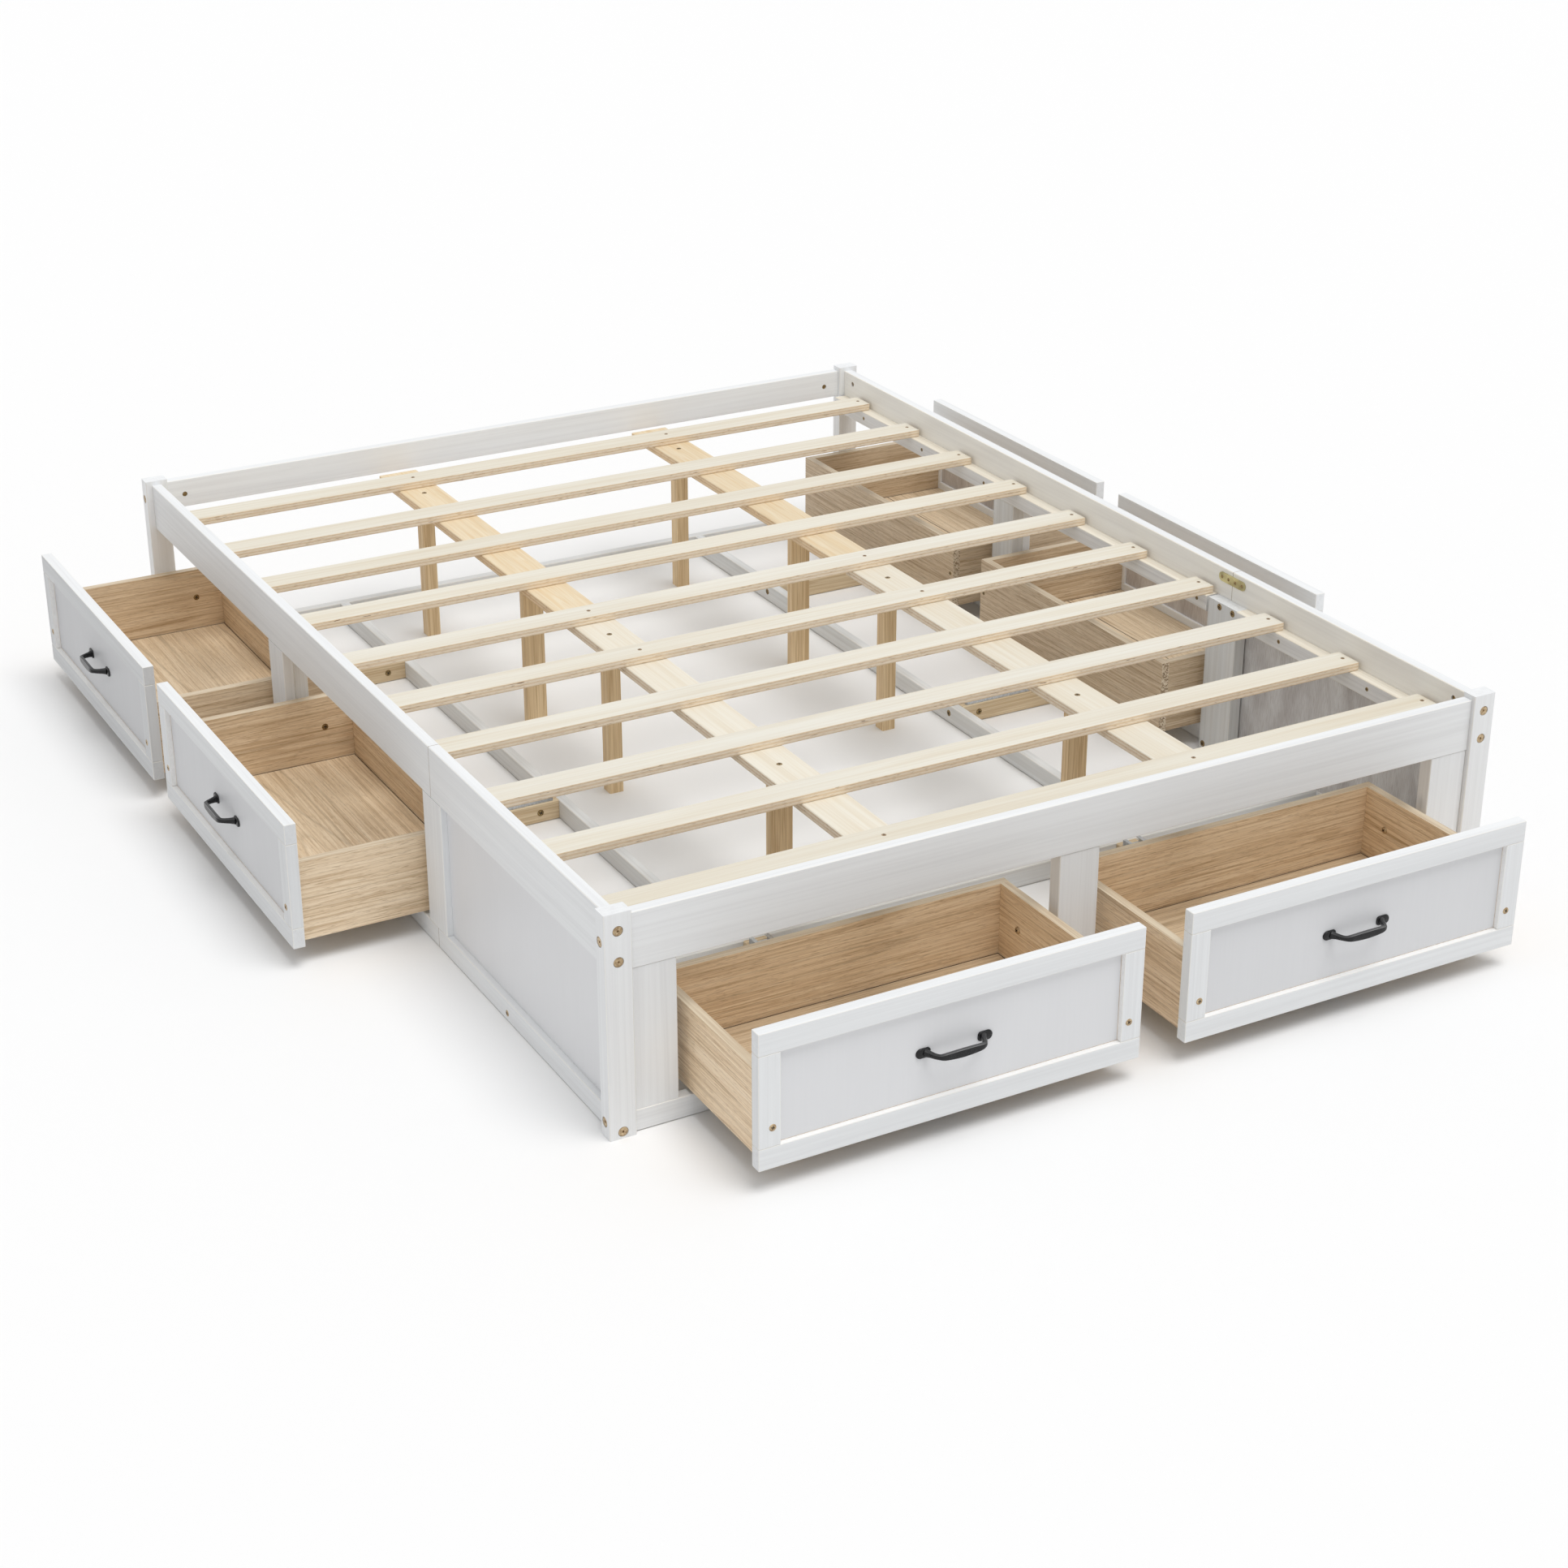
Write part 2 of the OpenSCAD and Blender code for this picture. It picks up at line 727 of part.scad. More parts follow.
seat() mirror([1, 0, 0]) foot_post();  // post_foot_left
seat() foot_post();  // post_foot_right
seat() mirror([1, 0, 0]) head_post();  // post_head_left
seat() head_post();  // post_head_right
seat() foot_top_rail();
seat() foot_base_rail();
seat() foot_stiles();
seat() head_top_rail();
seat() head_base_rail();
seat() mirror([1, 0, 0]) side_rail();  // side_rail_left
seat() side_rail();  // side_rail_right
seat() mirror([1, 0, 0]) side_base_rail();  // side_base_rail_left
seat() side_base_rail();  // side_base_rail_right
seat() side_panels();
seat() side_stiles();
seat() inner_uprights();
seat() ledgers();
seat() floor_rails();
seat() foot_cross_rail();
seat() runner_bars();
seat() runner_channels();
seat() slats();
seat() centre_boards();
seat() square_legs();
seat() flat_legs();
seat() mending_plates();
seat() plate_screws();
seat() frame_bolts();
seat() barrel_nuts();
seat() drawer_front(0);  // foot_left_front
seat() drawer_pull(0);  // foot_left_pull
seat() drawer_box(0);  // foot_left_box
seat() drawer_bottom(0);  // foot_left_bottom
seat() drawer_runner(0);  // foot_left_runner
seat() drawer_front(1);  // foot_right_front
seat() drawer_pull(1);  // foot_right_pull
seat() drawer_box(1);  // foot_right_box
seat() drawer_bottom(1);  // foot_right_bottom
seat() drawer_runner(1);  // foot_right_runner
seat() drawer_front(2);  // left_near_front
seat() drawer_pull(2);  // left_near_pull
seat() drawer_box(2);  // left_near_box
seat() drawer_bottom(2);  // left_near_bottom
seat() drawer_runner(2);  // left_near_runner
seat() drawer_front(3);  // left_far_front
seat() drawer_pull(3);  // left_far_pull
seat() drawer_box(3);  // left_far_box
seat() drawer_bottom(3);  // left_far_bottom
seat() drawer_runner(3);  // left_far_runner
seat() drawer_front(4);  // right_near_front
seat() drawer_pull(4);  // right_near_pull
seat() drawer_box(4);  // right_near_box
seat() drawer_bottom(4);  // right_near_bottom
seat() drawer_runner(4);  // right_near_runner
seat() drawer_front(5);  // right_far_front
seat() drawer_pull(5);  // right_far_pull
seat() drawer_box(5);  // right_far_box
seat() drawer_bottom(5);  // right_far_bottom
seat() drawer_runner(5);  // right_far_runner
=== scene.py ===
# %% [markdown]
# # A platform bed with storage drawers
#
# A low slatted bed: four square posts, washed white rails and panels, ten pale slats on
# two lines of legs, and six drawers that stand part open. The solids come from the CAD
# model. This lesson gives them their finishes, and makes the pieces whose look needs
# more than the solids have: the framed drawer fronts, the cast pulls, the slats and
# all the small screws.

# %% Load the solids
import math
import bpy
import bmesh
from mathutils import Matrix, Vector


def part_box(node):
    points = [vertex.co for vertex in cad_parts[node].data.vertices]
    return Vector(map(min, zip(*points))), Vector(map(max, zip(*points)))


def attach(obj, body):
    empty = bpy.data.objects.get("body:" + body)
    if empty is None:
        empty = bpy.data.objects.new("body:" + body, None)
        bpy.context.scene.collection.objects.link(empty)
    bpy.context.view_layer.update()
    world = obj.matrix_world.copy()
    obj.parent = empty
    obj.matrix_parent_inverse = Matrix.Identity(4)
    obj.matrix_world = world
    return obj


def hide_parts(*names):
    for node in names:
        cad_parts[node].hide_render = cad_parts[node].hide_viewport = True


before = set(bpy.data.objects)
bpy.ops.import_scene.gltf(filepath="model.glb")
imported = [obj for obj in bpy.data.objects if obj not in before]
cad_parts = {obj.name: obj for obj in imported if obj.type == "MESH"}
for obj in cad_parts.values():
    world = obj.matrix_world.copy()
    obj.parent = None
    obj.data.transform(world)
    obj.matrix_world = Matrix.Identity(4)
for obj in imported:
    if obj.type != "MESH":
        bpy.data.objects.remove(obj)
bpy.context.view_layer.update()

# %% [markdown]
# ## The room
#
# A pale floor that runs out of sight, a soft even sky and one broad lamp high over the
# foot. Together they give about as much light as makes a colour look as it is written:
# tops a little brighter, the left side a little darker.

# %% Helpers for nodes, meshes and objects
def empty_material(name):
    m = bpy.data.materials.new(name)
    m.use_nodes = True
    return m, m.node_tree


def surface_inputs(m):
    return m.node_tree.nodes["Principled BSDF"].inputs


def plug(nt, socket, value):
    """Links a socket to another one, or sets it to a number, a list or a colour."""
    if isinstance(value, (float, int, list)):
        socket.default_value = value
    elif isinstance(value, tuple):
        socket.default_value = (*value, 1)
    else:
        nt.links.new(value, socket)


def node(nt, kind, **values):
    """A new shader node whose inputs have these values, by name."""
    made = nt.nodes.new("ShaderNode" + kind)
    for name, value in values.items():
        plug(nt, made.inputs[name], value)
    return made


def as_mesh(bm, name):
    """Turns what bm holds into a mesh, and frees bm."""
    mesh = bpy.data.meshes.new(name)
    bm.to_mesh(mesh)
    bm.free()
    return mesh


def in_room(name, data):
    """A new object that shows in the room."""
    thing = bpy.data.objects.new(name, data)
    bpy.context.collection.objects.link(thing)
    return thing


def wire(tree, rows):
    """Links nodes: each row is a node, its output, the next node and its input."""
    for a, out, b, into in rows:
        tree.links.new(a.outputs[out], b.inputs[into])


# %% Floor, sky and lamp
def make_floor():
    half = 40.0             # m, far enough for its edge never to show
    bm = bmesh.new()
    bmesh.ops.create_grid(bm, x_segments=1, y_segments=1, size=half)
    floor = in_room("studio_floor", as_mesh(bm, "studio_floor"))
    m, _ = empty_material("floor_paint")
    surface_inputs(m)["Base Color"].default_value = (0.88, 0.88, 0.88, 1)
    surface_inputs(m)["Roughness"].default_value = 0.9
    floor.data.materials.append(m)


def make_sky(light_strength, seen_strength=1.0):
    """A white sky, plain white to the eye and in reflections, and weaker as a light."""
    sky = bpy.data.worlds.new("soft_sky")
    sky.use_nodes = True
    bpy.context.scene.world = sky
    nt = sky.node_tree
    nt.nodes.clear()
    lit, seen = (node(nt, "Background", Color=(1, 1, 1), Strength=strength)
                 for strength in (light_strength, seen_strength))
    ray, either = node(nt, "LightPath"), node(nt, "Math")
    either.operation = "MAXIMUM"
    both, out = node(nt, "MixShader"), node(nt, "OutputWorld")
    wire(nt, (
        (ray, "Is Camera Ray", either, 0), (ray, "Is Glossy Ray", either, 1),
        (either, 0, both, 0), (lit, 0, both, 1), (seen, 0, both, 2), (both, 0, out, 0)))


def make_lamp(strength, softness, towards):
    lamp = bpy.data.lights.new("high_lamp", "SUN")
    lamp.energy = strength
    lamp.angle = math.radians(softness)
    lamp_object = in_room("high_lamp", lamp)
    lamp_object.rotation_euler = Vector(towards).to_track_quat("Z", "Y").to_euler()


make_floor()
make_sky(light_strength=0.62)
make_lamp(strength=1.65, softness=35, towards=(0.12, -0.30, 1.0))
print("room", bpy.context.scene.world.name, [lamp.name for lamp in bpy.data.lights])

# %% [markdown]
# ## The camera
#
# It stands off the near left corner and looks down at about a quarter of a right angle,
# with a fairly long lens, so that the rails hardly converge.

# %% Camera
eye = Vector((-2.251, -4.056, 2.196))
aim = Vector((-0.1884, -0.3243, 0.18))
camera = bpy.data.cameras.new("camera")
camera.lens = 65.26
camera.sensor_width = 36
camera_object = in_room("camera", camera)
camera_object.location = eye
camera_object.rotation_euler = (aim - eye).to_track_quat("-Z", "Y").to_euler()
bpy.context.scene.camera = camera_object

bpy.context.scene.view_settings.view_transform = "Standard"
print("camera", round((aim - eye).length, 3), "m from what it aims at")

# %% [markdown]
# ## Grain
#
# Every wood here is noise drawn out along the board. The pattern sits in the object's
# own coordinates, which are the bed's, so two boards side by side never match. A few
# helpers carry all the finishes: drawn-out noise, a ramp from a value to a colour, two
# colours blended or multiplied, and masks that are 1 on part of a board and 0 elsewhere,
# such as the eased edges, where wash and varnish wear first.

# %% Helpers for finishes
def bed_position(nt):
    return node(nt, "TexCoord").outputs["Object"]


def split(nt, vector):
    """The X, Y and Z of a vector."""
    return node(nt, "SeparateXYZ", Vector=vector).outputs


def stretched(nt, axis, across, along, shift=0.0):
    """Bed coordinates in units of `along` along the axis and `across` the other ways."""
    scale = [1 / across] * 3
    scale["xyz".index(axis)] = 1 / along
    return node(nt, "Mapping", Vector=bed_position(nt), Scale=scale,
                Location=[shift, 1.7 * shift, 2.3 * shift]).outputs[0]


def streaks(nt, axis, width, length, detail=4.0, shift=0.0, bend=0.0):
    """Noise from 0 to 1 whose blotches are `width` wide and `length` long, in metres."""
    return node(nt, "TexNoise", Vector=stretched(nt, axis, width, length, shift),
                Scale=1.0, Detail=detail, Distortion=bend).outputs["Fac"]


def grey(v):
    return (v, v, v)


def ramp(nt, value, stops):
    """A colour for each value; a stop is a position and a colour, or a number for grey."""
    made = node(nt, "ValToRGB", Fac=value)
    elements = made.color_ramp.elements
    while len(elements) < len(stops):
        elements.new(0.5)
    for element, (position, colour) in zip(elements, stops):
        element.position = position
        element.color = (*(colour if isinstance(colour, tuple) else grey(colour)), 1)
    return made.outputs["Color"]


def blend(nt, factor, a, b, mode="MIX"):
    made = node(nt, "Mix")
    made.data_type = "RGBA"
    made.blend_type = mode
    for k, value in ((0, factor), (6, a), (7, b)):      # its sockets for colours
        plug(nt, made.inputs[k], value)
    return made.outputs[2]


def times(nt, colour, by, share=1.0):
    """A colour multiplied by another, the share saying how much of that is felt."""
    return blend(nt, share, colour, by, "MULTIPLY")


def shade(nt, colour, value, stops, share=1.0):
    """A colour multiplied by the ramp that a value runs through."""
    return times(nt, colour, ramp(nt, value, stops), share)


def maths(nt, operation, a, b=0.0):
    made = node(nt, "Math")
    made.operation = operation
    plug(nt, made.inputs[0], a)
    plug(nt, made.inputs[1], b)
    return made.outputs[0]


def surface_way(nt):
    """X, Y and Z of the direction out of the surface."""
    return split(nt, node(nt, "NewGeometry").outputs["True Normal"])


def facing(nt):
    """Size of the surface direction along X, Y and Z."""
    return [maths(nt, "ABSOLUTE", part) for part in surface_way(nt)]


def level(nt):
    """1 on faces that look up or down, 0 on upright ones."""
    return maths(nt, "GREATER_THAN", facing(nt)[2], 0.5)


def eased_edge(nt):
    """1 on the sloping strips along a board's edges, 0 on its faces."""
    x, y, z = facing(nt)
    most = maths(nt, "MAXIMUM", maths(nt, "MAXIMUM", x, y), z)
    return maths(nt, "LESS_THAN", most, 0.93)


def knots(nt, axis, apart=0.2):
    """Distance to the nearest knot, as a share of how far apart knots lie."""
    return node(nt, "TexVoronoi", Vector=stretched(nt, axis, apart, 2 * apart),
                Scale=1.0).outputs["Distance"]


def looks_inward(nt):
    """1 on faces that look towards the bed's middle line from the left or right."""
    side = maths(nt, "SIGN", split(nt, bed_position(nt))[0])
    outward = maths(nt, "MULTIPLY", surface_way(nt)[0], side)
    return maths(nt, "LESS_THAN", outward, -0.5)


def near_line(nt, y, half_width):
    """1 within half_width of the line across the bed at y."""
    away = maths(nt, "SUBTRACT", split(nt, bed_position(nt))[1], y)
    return maths(nt, "LESS_THAN", maths(nt, "ABSOLUTE", away), half_width)


def finish_surface(m, colour, height, rough, bump, distance=0.0006, shine=0.5,
                   metallic=0.0):
    """Sets a material's colour, roughness between two values, bump with its depth in
    metres, specular level and share of metal; returns the material."""
    nt, inputs = m.node_tree, surface_inputs(m)
    low, high = rough
    bumps = node(nt, "Bump", Strength=bump, Distance=distance, Height=height)
    for name, value in (
            ("Base Color", colour), ("Normal", bumps.outputs[0]),
            ("Roughness", ramp(nt, height, [(0.3, high), (0.7, low)])),
            ("Specular IOR Level", shine), ("Metallic", metallic)):
        plug(nt, inputs[name], value)
    return m


# %% [markdown]
# ## Washed white wood
#
# The frame is pine under a thin grey-white wash. Long soft streaks show through it, a
# little grey and hardly darker than the wash, a trace of warm wood shows on the eased
# edges, and a knot here and there is painted over but not quite gone. There is one
# material for each way a board can run. The thin panels are smoother and cooler, and
# raw and brownish on the side that faces inwards, where nobody looks. A board's share of
# lightness is painted light or shade and changes only its upright faces, not the tops.
# The side rails are made in two lengths, and a fine dark line shows where the two meet.

# %% Washed wood
def toned(colour, share):
    return tuple(share * c for c in colour)


def washed_wood(name, axis, light=(0.825, 0.84, 0.85), dark=(0.78, 0.79, 0.80), warm=0.0,
                share=1.0, inner_light_tint=None, seam_at=None):
    """share: lightness of all but the tops, painted light or shade; warm: how much raw
    wood shows in patches; the inner tint: lighter faces on the inner side, painted light;
    seam_at: y of a seam."""
    m, nt = empty_material(name)
    fine = streaks(nt, axis, 0.006, 0.45, 6.0, bend=0.3)
    broad = streaks(nt, axis, 0.045, 0.9, 3.0, shift=5.0, bend=0.6)
    rings = streaks(nt, axis, 0.018, 0.8, 5.0, shift=9.0, bend=0.8)
    colour = ramp(nt, fine, [(0.30, dark), (0.62, light)])
    colour = shade(nt, colour, broad, [(0.30, 0.955), (0.58, 1.0)], 0.75)
    colour = shade(nt, colour, rings, [(0.46, 1.0), (0.50, 0.975), (0.54, 1.0)], 0.9)
    colour = shade(nt, colour, knots(nt, axis), [
        (0.0, (0.80, 0.79, 0.77)), (0.022, 0.88), (0.034, 0.95), (0.05, 1.0)])
    # Painted light or shade: the share lightens or darkens the upright faces, not the tops.
    colour = times(nt, colour, blend(nt, level(nt), grey(share), grey(1.0)))
    if warm:
        patches = ramp(nt, broad, [(0.40, 0.0), (0.65, 1.0)])
        colour = blend(nt, maths(nt, "MULTIPLY", patches, warm), colour, (0.66, 0.56, 0.42))
    worn = maths(nt, "MULTIPLY", eased_edge(nt), 0.55)
    colour = blend(nt, worn, colour, (0.84, 0.815, 0.765))
    # Painted light: a lighter tint on faces that look towards the bed's middle line.
    if inner_light_tint:
        colour = times(nt, colour, inner_light_tint, looks_inward(nt))
    if seam_at is not None:
        colour = times(nt, colour, (0.62, 0.56, 0.50), near_line(nt, seam_at, 0.0008))
    return finish_surface(m, colour, fine, (0.42, 0.60), 0.07, shine=0.35)


WASHED = {a: washed_wood("washed_wood_" + a, a) for a in "xz"}
# The head end's boards are made lighter on their upright faces, painted light.
WASHED_HEAD_LIT = {a: washed_wood("washed_head_lit_" + a, a, share=1.10) for a in "xz"}
RAIL_SEAM = sum(corner.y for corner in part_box("mending_plates")) / 2
# The side rails' inner faces are lightened, painted light.
SIDE_RAIL = washed_wood("side_rail_wood", "y", inner_light_tint=(1.12, 1.085, 1.02),
                        seam_at=RAIL_SEAM)
SIDE_BASE = washed_wood("side_base_wood", "y", seam_at=RAIL_SEAM)
# A darker copy of the wash for the inner rails, uprights and floor rails: painted shade, with
# raw wood showing in warm patches.
WASHED_SHADED = {a: washed_wood("washed_shaded_" + a, a, (0.765, 0.785, 0.795),
                               (0.68, 0.69, 0.69), warm=0.10) for a in "xyz"}


def sunk_panel_finish(name, share=1.0, inner=((0.515, 0.495, 0.49), 0.73)):
    """inner: the darker and lighter colour of the raw inner side."""
    m, nt = empty_material(name)
    fine = streaks(nt, "z", 0.0035, 0.10, 5.0)
    broad = streaks(nt, "z", 0.12, 0.30, 3.0, shift=3.0)
    # The share darkens or lightens the washed face: painted shade or light.
    colour = ramp(nt, fine, [(0.25, toned((0.742, 0.747, 0.762), share)),
                             (0.70, toned((0.752, 0.757, 0.772), share))])
    colour = shade(nt, colour, broad, [(0.3, 0.97), (0.6, 1.0)], 0.6)
    cloudy = streaks(nt, "z", 0.05, 0.12, shift=12.0, bend=0.8)
    pores = streaks(nt, "z", 0.0016, 0.02, 3.0, shift=2.0)
    raw = ramp(nt, cloudy, [(0.32, inner[0]), (0.66, inner[1])])
    raw = shade(nt, raw, pores, [(0.34, (0.80, 0.77, 0.75)), (0.55, 1.0)], 0.9)
    colour = blend(nt, looks_inward(nt), colour, raw)
    return finish_surface(m, colour, fine, (0.42, 0.48), 0.012, 0.0003, shine=0.4)


def ledge_finish():
    m, nt = empty_material("ledge_wood")
    fine = streaks(nt, "y", 0.005, 0.35, 6.0, bend=0.4)
    side = ramp(nt, fine, [(0.3, (0.68, 0.675, 0.67)), (0.6, (0.80, 0.80, 0.79))])
    top = ramp(nt, fine, [(0.3, (0.76, 0.69, 0.57)), (0.6, (0.85, 0.80, 0.69))])
    return finish_surface(m, blend(nt, level(nt), side, top), fine, (0.45, 0.62), 0.10)


PANEL = sunk_panel_finish("washed_panel")
LEDGE = ledge_finish()
print("washed finishes", [m.name for m in WASHED.values()], PANEL.name)

# %% [markdown]
# ## Bare woods
#
# The slats and centre boards are pale plywood: creamy faces, and on the sawn edges thin
# layers, every other one darker. The layers are bands across the thickness, so they
# read the height and only show on the long edges. The far lengths of the centre boards
# were cut from another sheet, more orange and with a bolder figure, so their finish
# changes where the two lengths meet. Legs and runner bars are bare pine with warmer,
# stronger grain, and knots here and there.

# %% Plywood and pine
SLATS, SLAT_W, SLAT_T = 10, 0.054, 0.0148       # how many, their width and thickness
PLY_LAYER = 0.003                               # thickness of one layer


def plywood(name, axis, face, face_dark, base, orange_beyond=None):
    """face, face_dark: colours of the faces; base: height of the board's underside;
    orange_beyond: y past which the boards come from the more orange sheet."""
    m, nt = empty_material(name)
    fine = streaks(nt, axis, 0.005, 0.35, 6.0, bend=0.4)
    broad = streaks(nt, axis, 0.03, 0.5, 3.0, shift=4.0, bend=0.8)
    colour = ramp(nt, fine, [(0.28, face_dark), (0.60, face)])
    colour = shade(nt, colour, broad, [(0.32, (0.95, 0.92, 0.87)), (0.58, 1.0)], 0.8)
    x, y, z = split(nt, bed_position(nt))
    waver = maths(nt, "SUBTRACT", streaks(nt, axis, 0.03, 0.12, 2.0, shift=7.0), 0.5)
    height = maths(nt, "ADD", maths(nt, "SUBTRACT", z, base),
                   maths(nt, "MULTIPLY", waver, 0.0012))
    band = maths(nt, "FRACT", maths(nt, "DIVIDE", height, 2 * PLY_LAYER))
    layers = ramp(nt, band, [(0.0, (0.78, 0.63, 0.45)), (0.46, (0.81, 0.67, 0.50)),
                             (0.52, (0.90, 0.80, 0.66)), (0.96, (0.89, 0.78, 0.64))])
    specks = streaks(nt, axis, 0.0012, 0.012, 3.0, shift=2.0)
    layers = shade(nt, layers, specks, [(0.30, (0.66, 0.58, 0.50)), (0.45, 1.0)], 0.8)
    gaps = streaks(nt, axis, 0.002, 0.035, 2.0, shift=15.0)
    layers = shade(nt, layers, gaps, [(0.27, (0.30, 0.20, 0.13)), (0.31, 1.0)])
    colour = blend(nt, level(nt), layers, colour)
    if orange_beyond is not None:
        right = maths(nt, "GREATER_THAN", x, 0.0)
        colour = times(nt, colour, grey(0.96), right)
        far = maths(nt, "GREATER_THAN", y, orange_beyond)
        figure = streaks(nt, axis, 0.014, 0.30, shift=21.0, bend=1.4)
        colour = shade(nt, colour, figure, [
            (0.36, (0.95, 0.80, 0.60)), (0.50, (1.0, 0.915, 0.79)),
            (0.58, (0.97, 0.84, 0.66)), (0.70, (1.0, 0.93, 0.82))], far)
    return finish_surface(m, colour, fine, (0.50, 0.68), 0.10, shine=0.3)


def bare_pine(name, axis, light, dark):
    m, nt = empty_material(name)
    fine = streaks(nt, axis, 0.004, 0.20, 6.0, bend=0.5)
    rings = streaks(nt, axis, 0.011, 0.6, 3.0, shift=6.0, bend=1.2)
    colour = ramp(nt, rings, [(0.38, dark), (0.46, light), (0.56, dark), (0.62, light)])
    colour = shade(nt, colour, fine, [(0.3, (0.84, 0.80, 0.74)), (0.6, 1.0)], 0.7)
    colour = shade(nt, colour, knots(nt, axis, 0.13), [
        (0.0, (0.42, 0.30, 0.20)), (0.03, (0.60, 0.46, 0.34)), (0.042, (0.90, 0.84, 0.77)),
        (0.055, (0.66, 0.53, 0.41)), (0.085, 1.0)])
    colour = blend(nt, maths(nt, "MULTIPLY", eased_edge(nt), 0.4), colour, light)
    return finish_surface(m, colour, rings, (0.48, 0.62), 0.12, shine=0.3)


slat_low, slat_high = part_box("slats")
slat_pitch = (slat_high.y - slat_low.y - SLAT_W) / (SLATS - 1)
SLAT_PLY = plywood("slat_plywood", "x", (0.767, 0.743, 0.666), (0.714, 0.666, 0.57),
                   base=0.302)
board_join = (slat_low.y + slat_high.y + slat_pitch) / 2
BOARD_PLY = plywood("centre_plywood", "y", (0.80, 0.755, 0.65), (0.745, 0.675, 0.55),
                    base=0.286, orange_beyond=board_join)
LEG_PINE = bare_pine("leg_pine", "z", (0.88, 0.69, 0.44), (0.67, 0.48, 0.27))
BAR_PINE = bare_pine("bar_pine", "x", (0.76, 0.63, 0.44), (0.62, 0.47, 0.29))
print("bare woods", SLAT_PLY.name, BOARD_PLY.name, LEG_PINE.name)

# %% [markdown]
# ## Oak laminate
#
# The drawer boxes are board with a printed oak face. A wall that faces left or right
# has its grain front to back, and one that faces the foot or head has it crosswise, so
# the material picks the direction from the way the surface faces. The print is built
# up from broad bands, fine lines, short pores, and a few long dark lines that follow the
# heights of one slow noise, as the rings do on a sawn board. The edging strips on top
# are paler and run along their walls. The walls at the foot are made lighter, painted
# light, and the bottoms at the foot and the boxes on the right darker, painted shade.

# %% Oak laminate
WALL = 0.015                # thickness of a drawer's walls
OAK_TONES = (
    (0.34, (0.61, 0.455, 0.29)), (0.44, (0.80, 0.64, 0.45)), (0.50, (0.68, 0.515, 0.335)),
    (0.56, (0.82, 0.67, 0.485)), (0.68, (0.74, 0.575, 0.39)))
RING_LINES = ((0.34, 0.62), (0.41, 0.74), (0.48, 0.60), (0.55, 0.72), (0.62, 0.64))


def oak_field(nt, axis, share, ring_depth):
    """The print for grain along an axis, with the fine lines that its bump follows."""
    figure = streaks(nt, axis, 0.016, 0.55, 5.0, shift=3.0, bend=1.6)
    lines = streaks(nt, axis, 0.0028, 0.22, 5.0, bend=0.5)
    pores = streaks(nt, axis, 0.0011, 0.018, 2.0, shift=8.0)
    colour = ramp(nt, figure, [(place, toned(tone, share)) for place, tone in OAK_TONES])
    colour = shade(nt, colour, lines, [(0.38, (0.74, 0.67, 0.59)), (0.52, 1.0)], 0.75)
    colour = shade(nt, colour, pores, [(0.34, (0.52, 0.43, 0.35)), (0.42, 1.0)], 0.5)
    rings = streaks(nt, axis, 0.085, 2.4, 1.0, shift=17.0, bend=0.3)
    stops, reach = [], 0.006
    for middle, dark in RING_LINES:
        stops += [(middle - reach, 1.0), (middle, (dark, dark * 0.96, dark * 0.90)),
                  (middle + reach, 1.0)]
    return shade(nt, colour, rings, stops, ring_depth), lines


def in_back_wall(nt, side):
    """1 over the back wall of the boxes on that side of the bed, 0 over the others."""
    x, y, _ = split(nt, bed_position(nt))
    low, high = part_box(side + ("_left_box" if side == "foot" else "_near_box"))
    if side == "foot":
        return maths(nt, "GREATER_THAN", y, high.y - WALL)
    if side == "left":
        return maths(nt, "GREATER_THAN", x, high.x - WALL)
    return maths(nt, "LESS_THAN", x, low.x + WALL)


def oak_walls(side, share):
    m, nt = empty_material("oak_walls_" + side)
    along_y, _ = oak_field(nt, "y", share, 0.5)
    along_x, lines = oak_field(nt, "x", share, 0.5)
    sideways = maths(nt, "GREATER_THAN", facing(nt)[0], 0.5)
    colour = blend(nt, sideways, along_x, along_y)
    axes = ("y", "x") if side == "foot" else ("x", "y")     # of the side and back walls
    strips = [streaks(nt, axis, 0.004, 0.15, shift=1.0) for axis in axes]
    pale = min(share, 1.0)
    edging = ramp(nt, blend(nt, in_back_wall(nt, side), *strips), [
        (0.34, toned((0.53, 0.41, 0.275), pale)), (0.60, toned((0.67, 0.57, 0.425), pale))])
    colour = blend(nt, level(nt), colour, edging)
    return finish_surface(m, colour, lines, (0.40, 0.55), 0.10, 0.0003)


def oak_bottom(side, share):
    m, nt = empty_material("oak_bottom_" + side)
    colour, lines = oak_field(nt, "x" if side == "foot" else "y", share, 0.75)
    colour = blend(nt, 0.15, colour, toned((0.80, 0.67, 0.47), share))
    return finish_surface(m, colour, lines, (0.42, 0.56), 0.10, 0.0003)


# Painted light and shade: the foot's walls lighter, the foot's bottoms and the right-hand
# boxes darker.
OAK_LIGHT_SHADE = {"foot": 1.125, "left": 1.01, "right": 0.845}
BOTTOM_OAK_LIGHT_SHADE = {"foot": 0.93, "left": 1.01, "right": 0.845}
OAK_WALLS = {side: oak_walls(side, share) for side, share in OAK_LIGHT_SHADE.items()}
OAK_BOTTOM = {side: oak_bottom(side, share) for side, share in BOTTOM_OAK_LIGHT_SHADE.items()}
print("oak finishes", [m.name for m in (*OAK_WALLS.values(), *OAK_BOTTOM.values())])

# %% [markdown]
# ## Metals
#
# Black cast pulls with a faint skin of the casting and a painted highlight along the
# crest of the grip, zinc on the runners, yellow zinc on the mending plates, and aged
# brass on bolts and screws, with painted shade in their recesses. The crest is no place
# that a pattern could find by itself, so the pull's mesh carries a number for the
# highlight, which the finish reads.

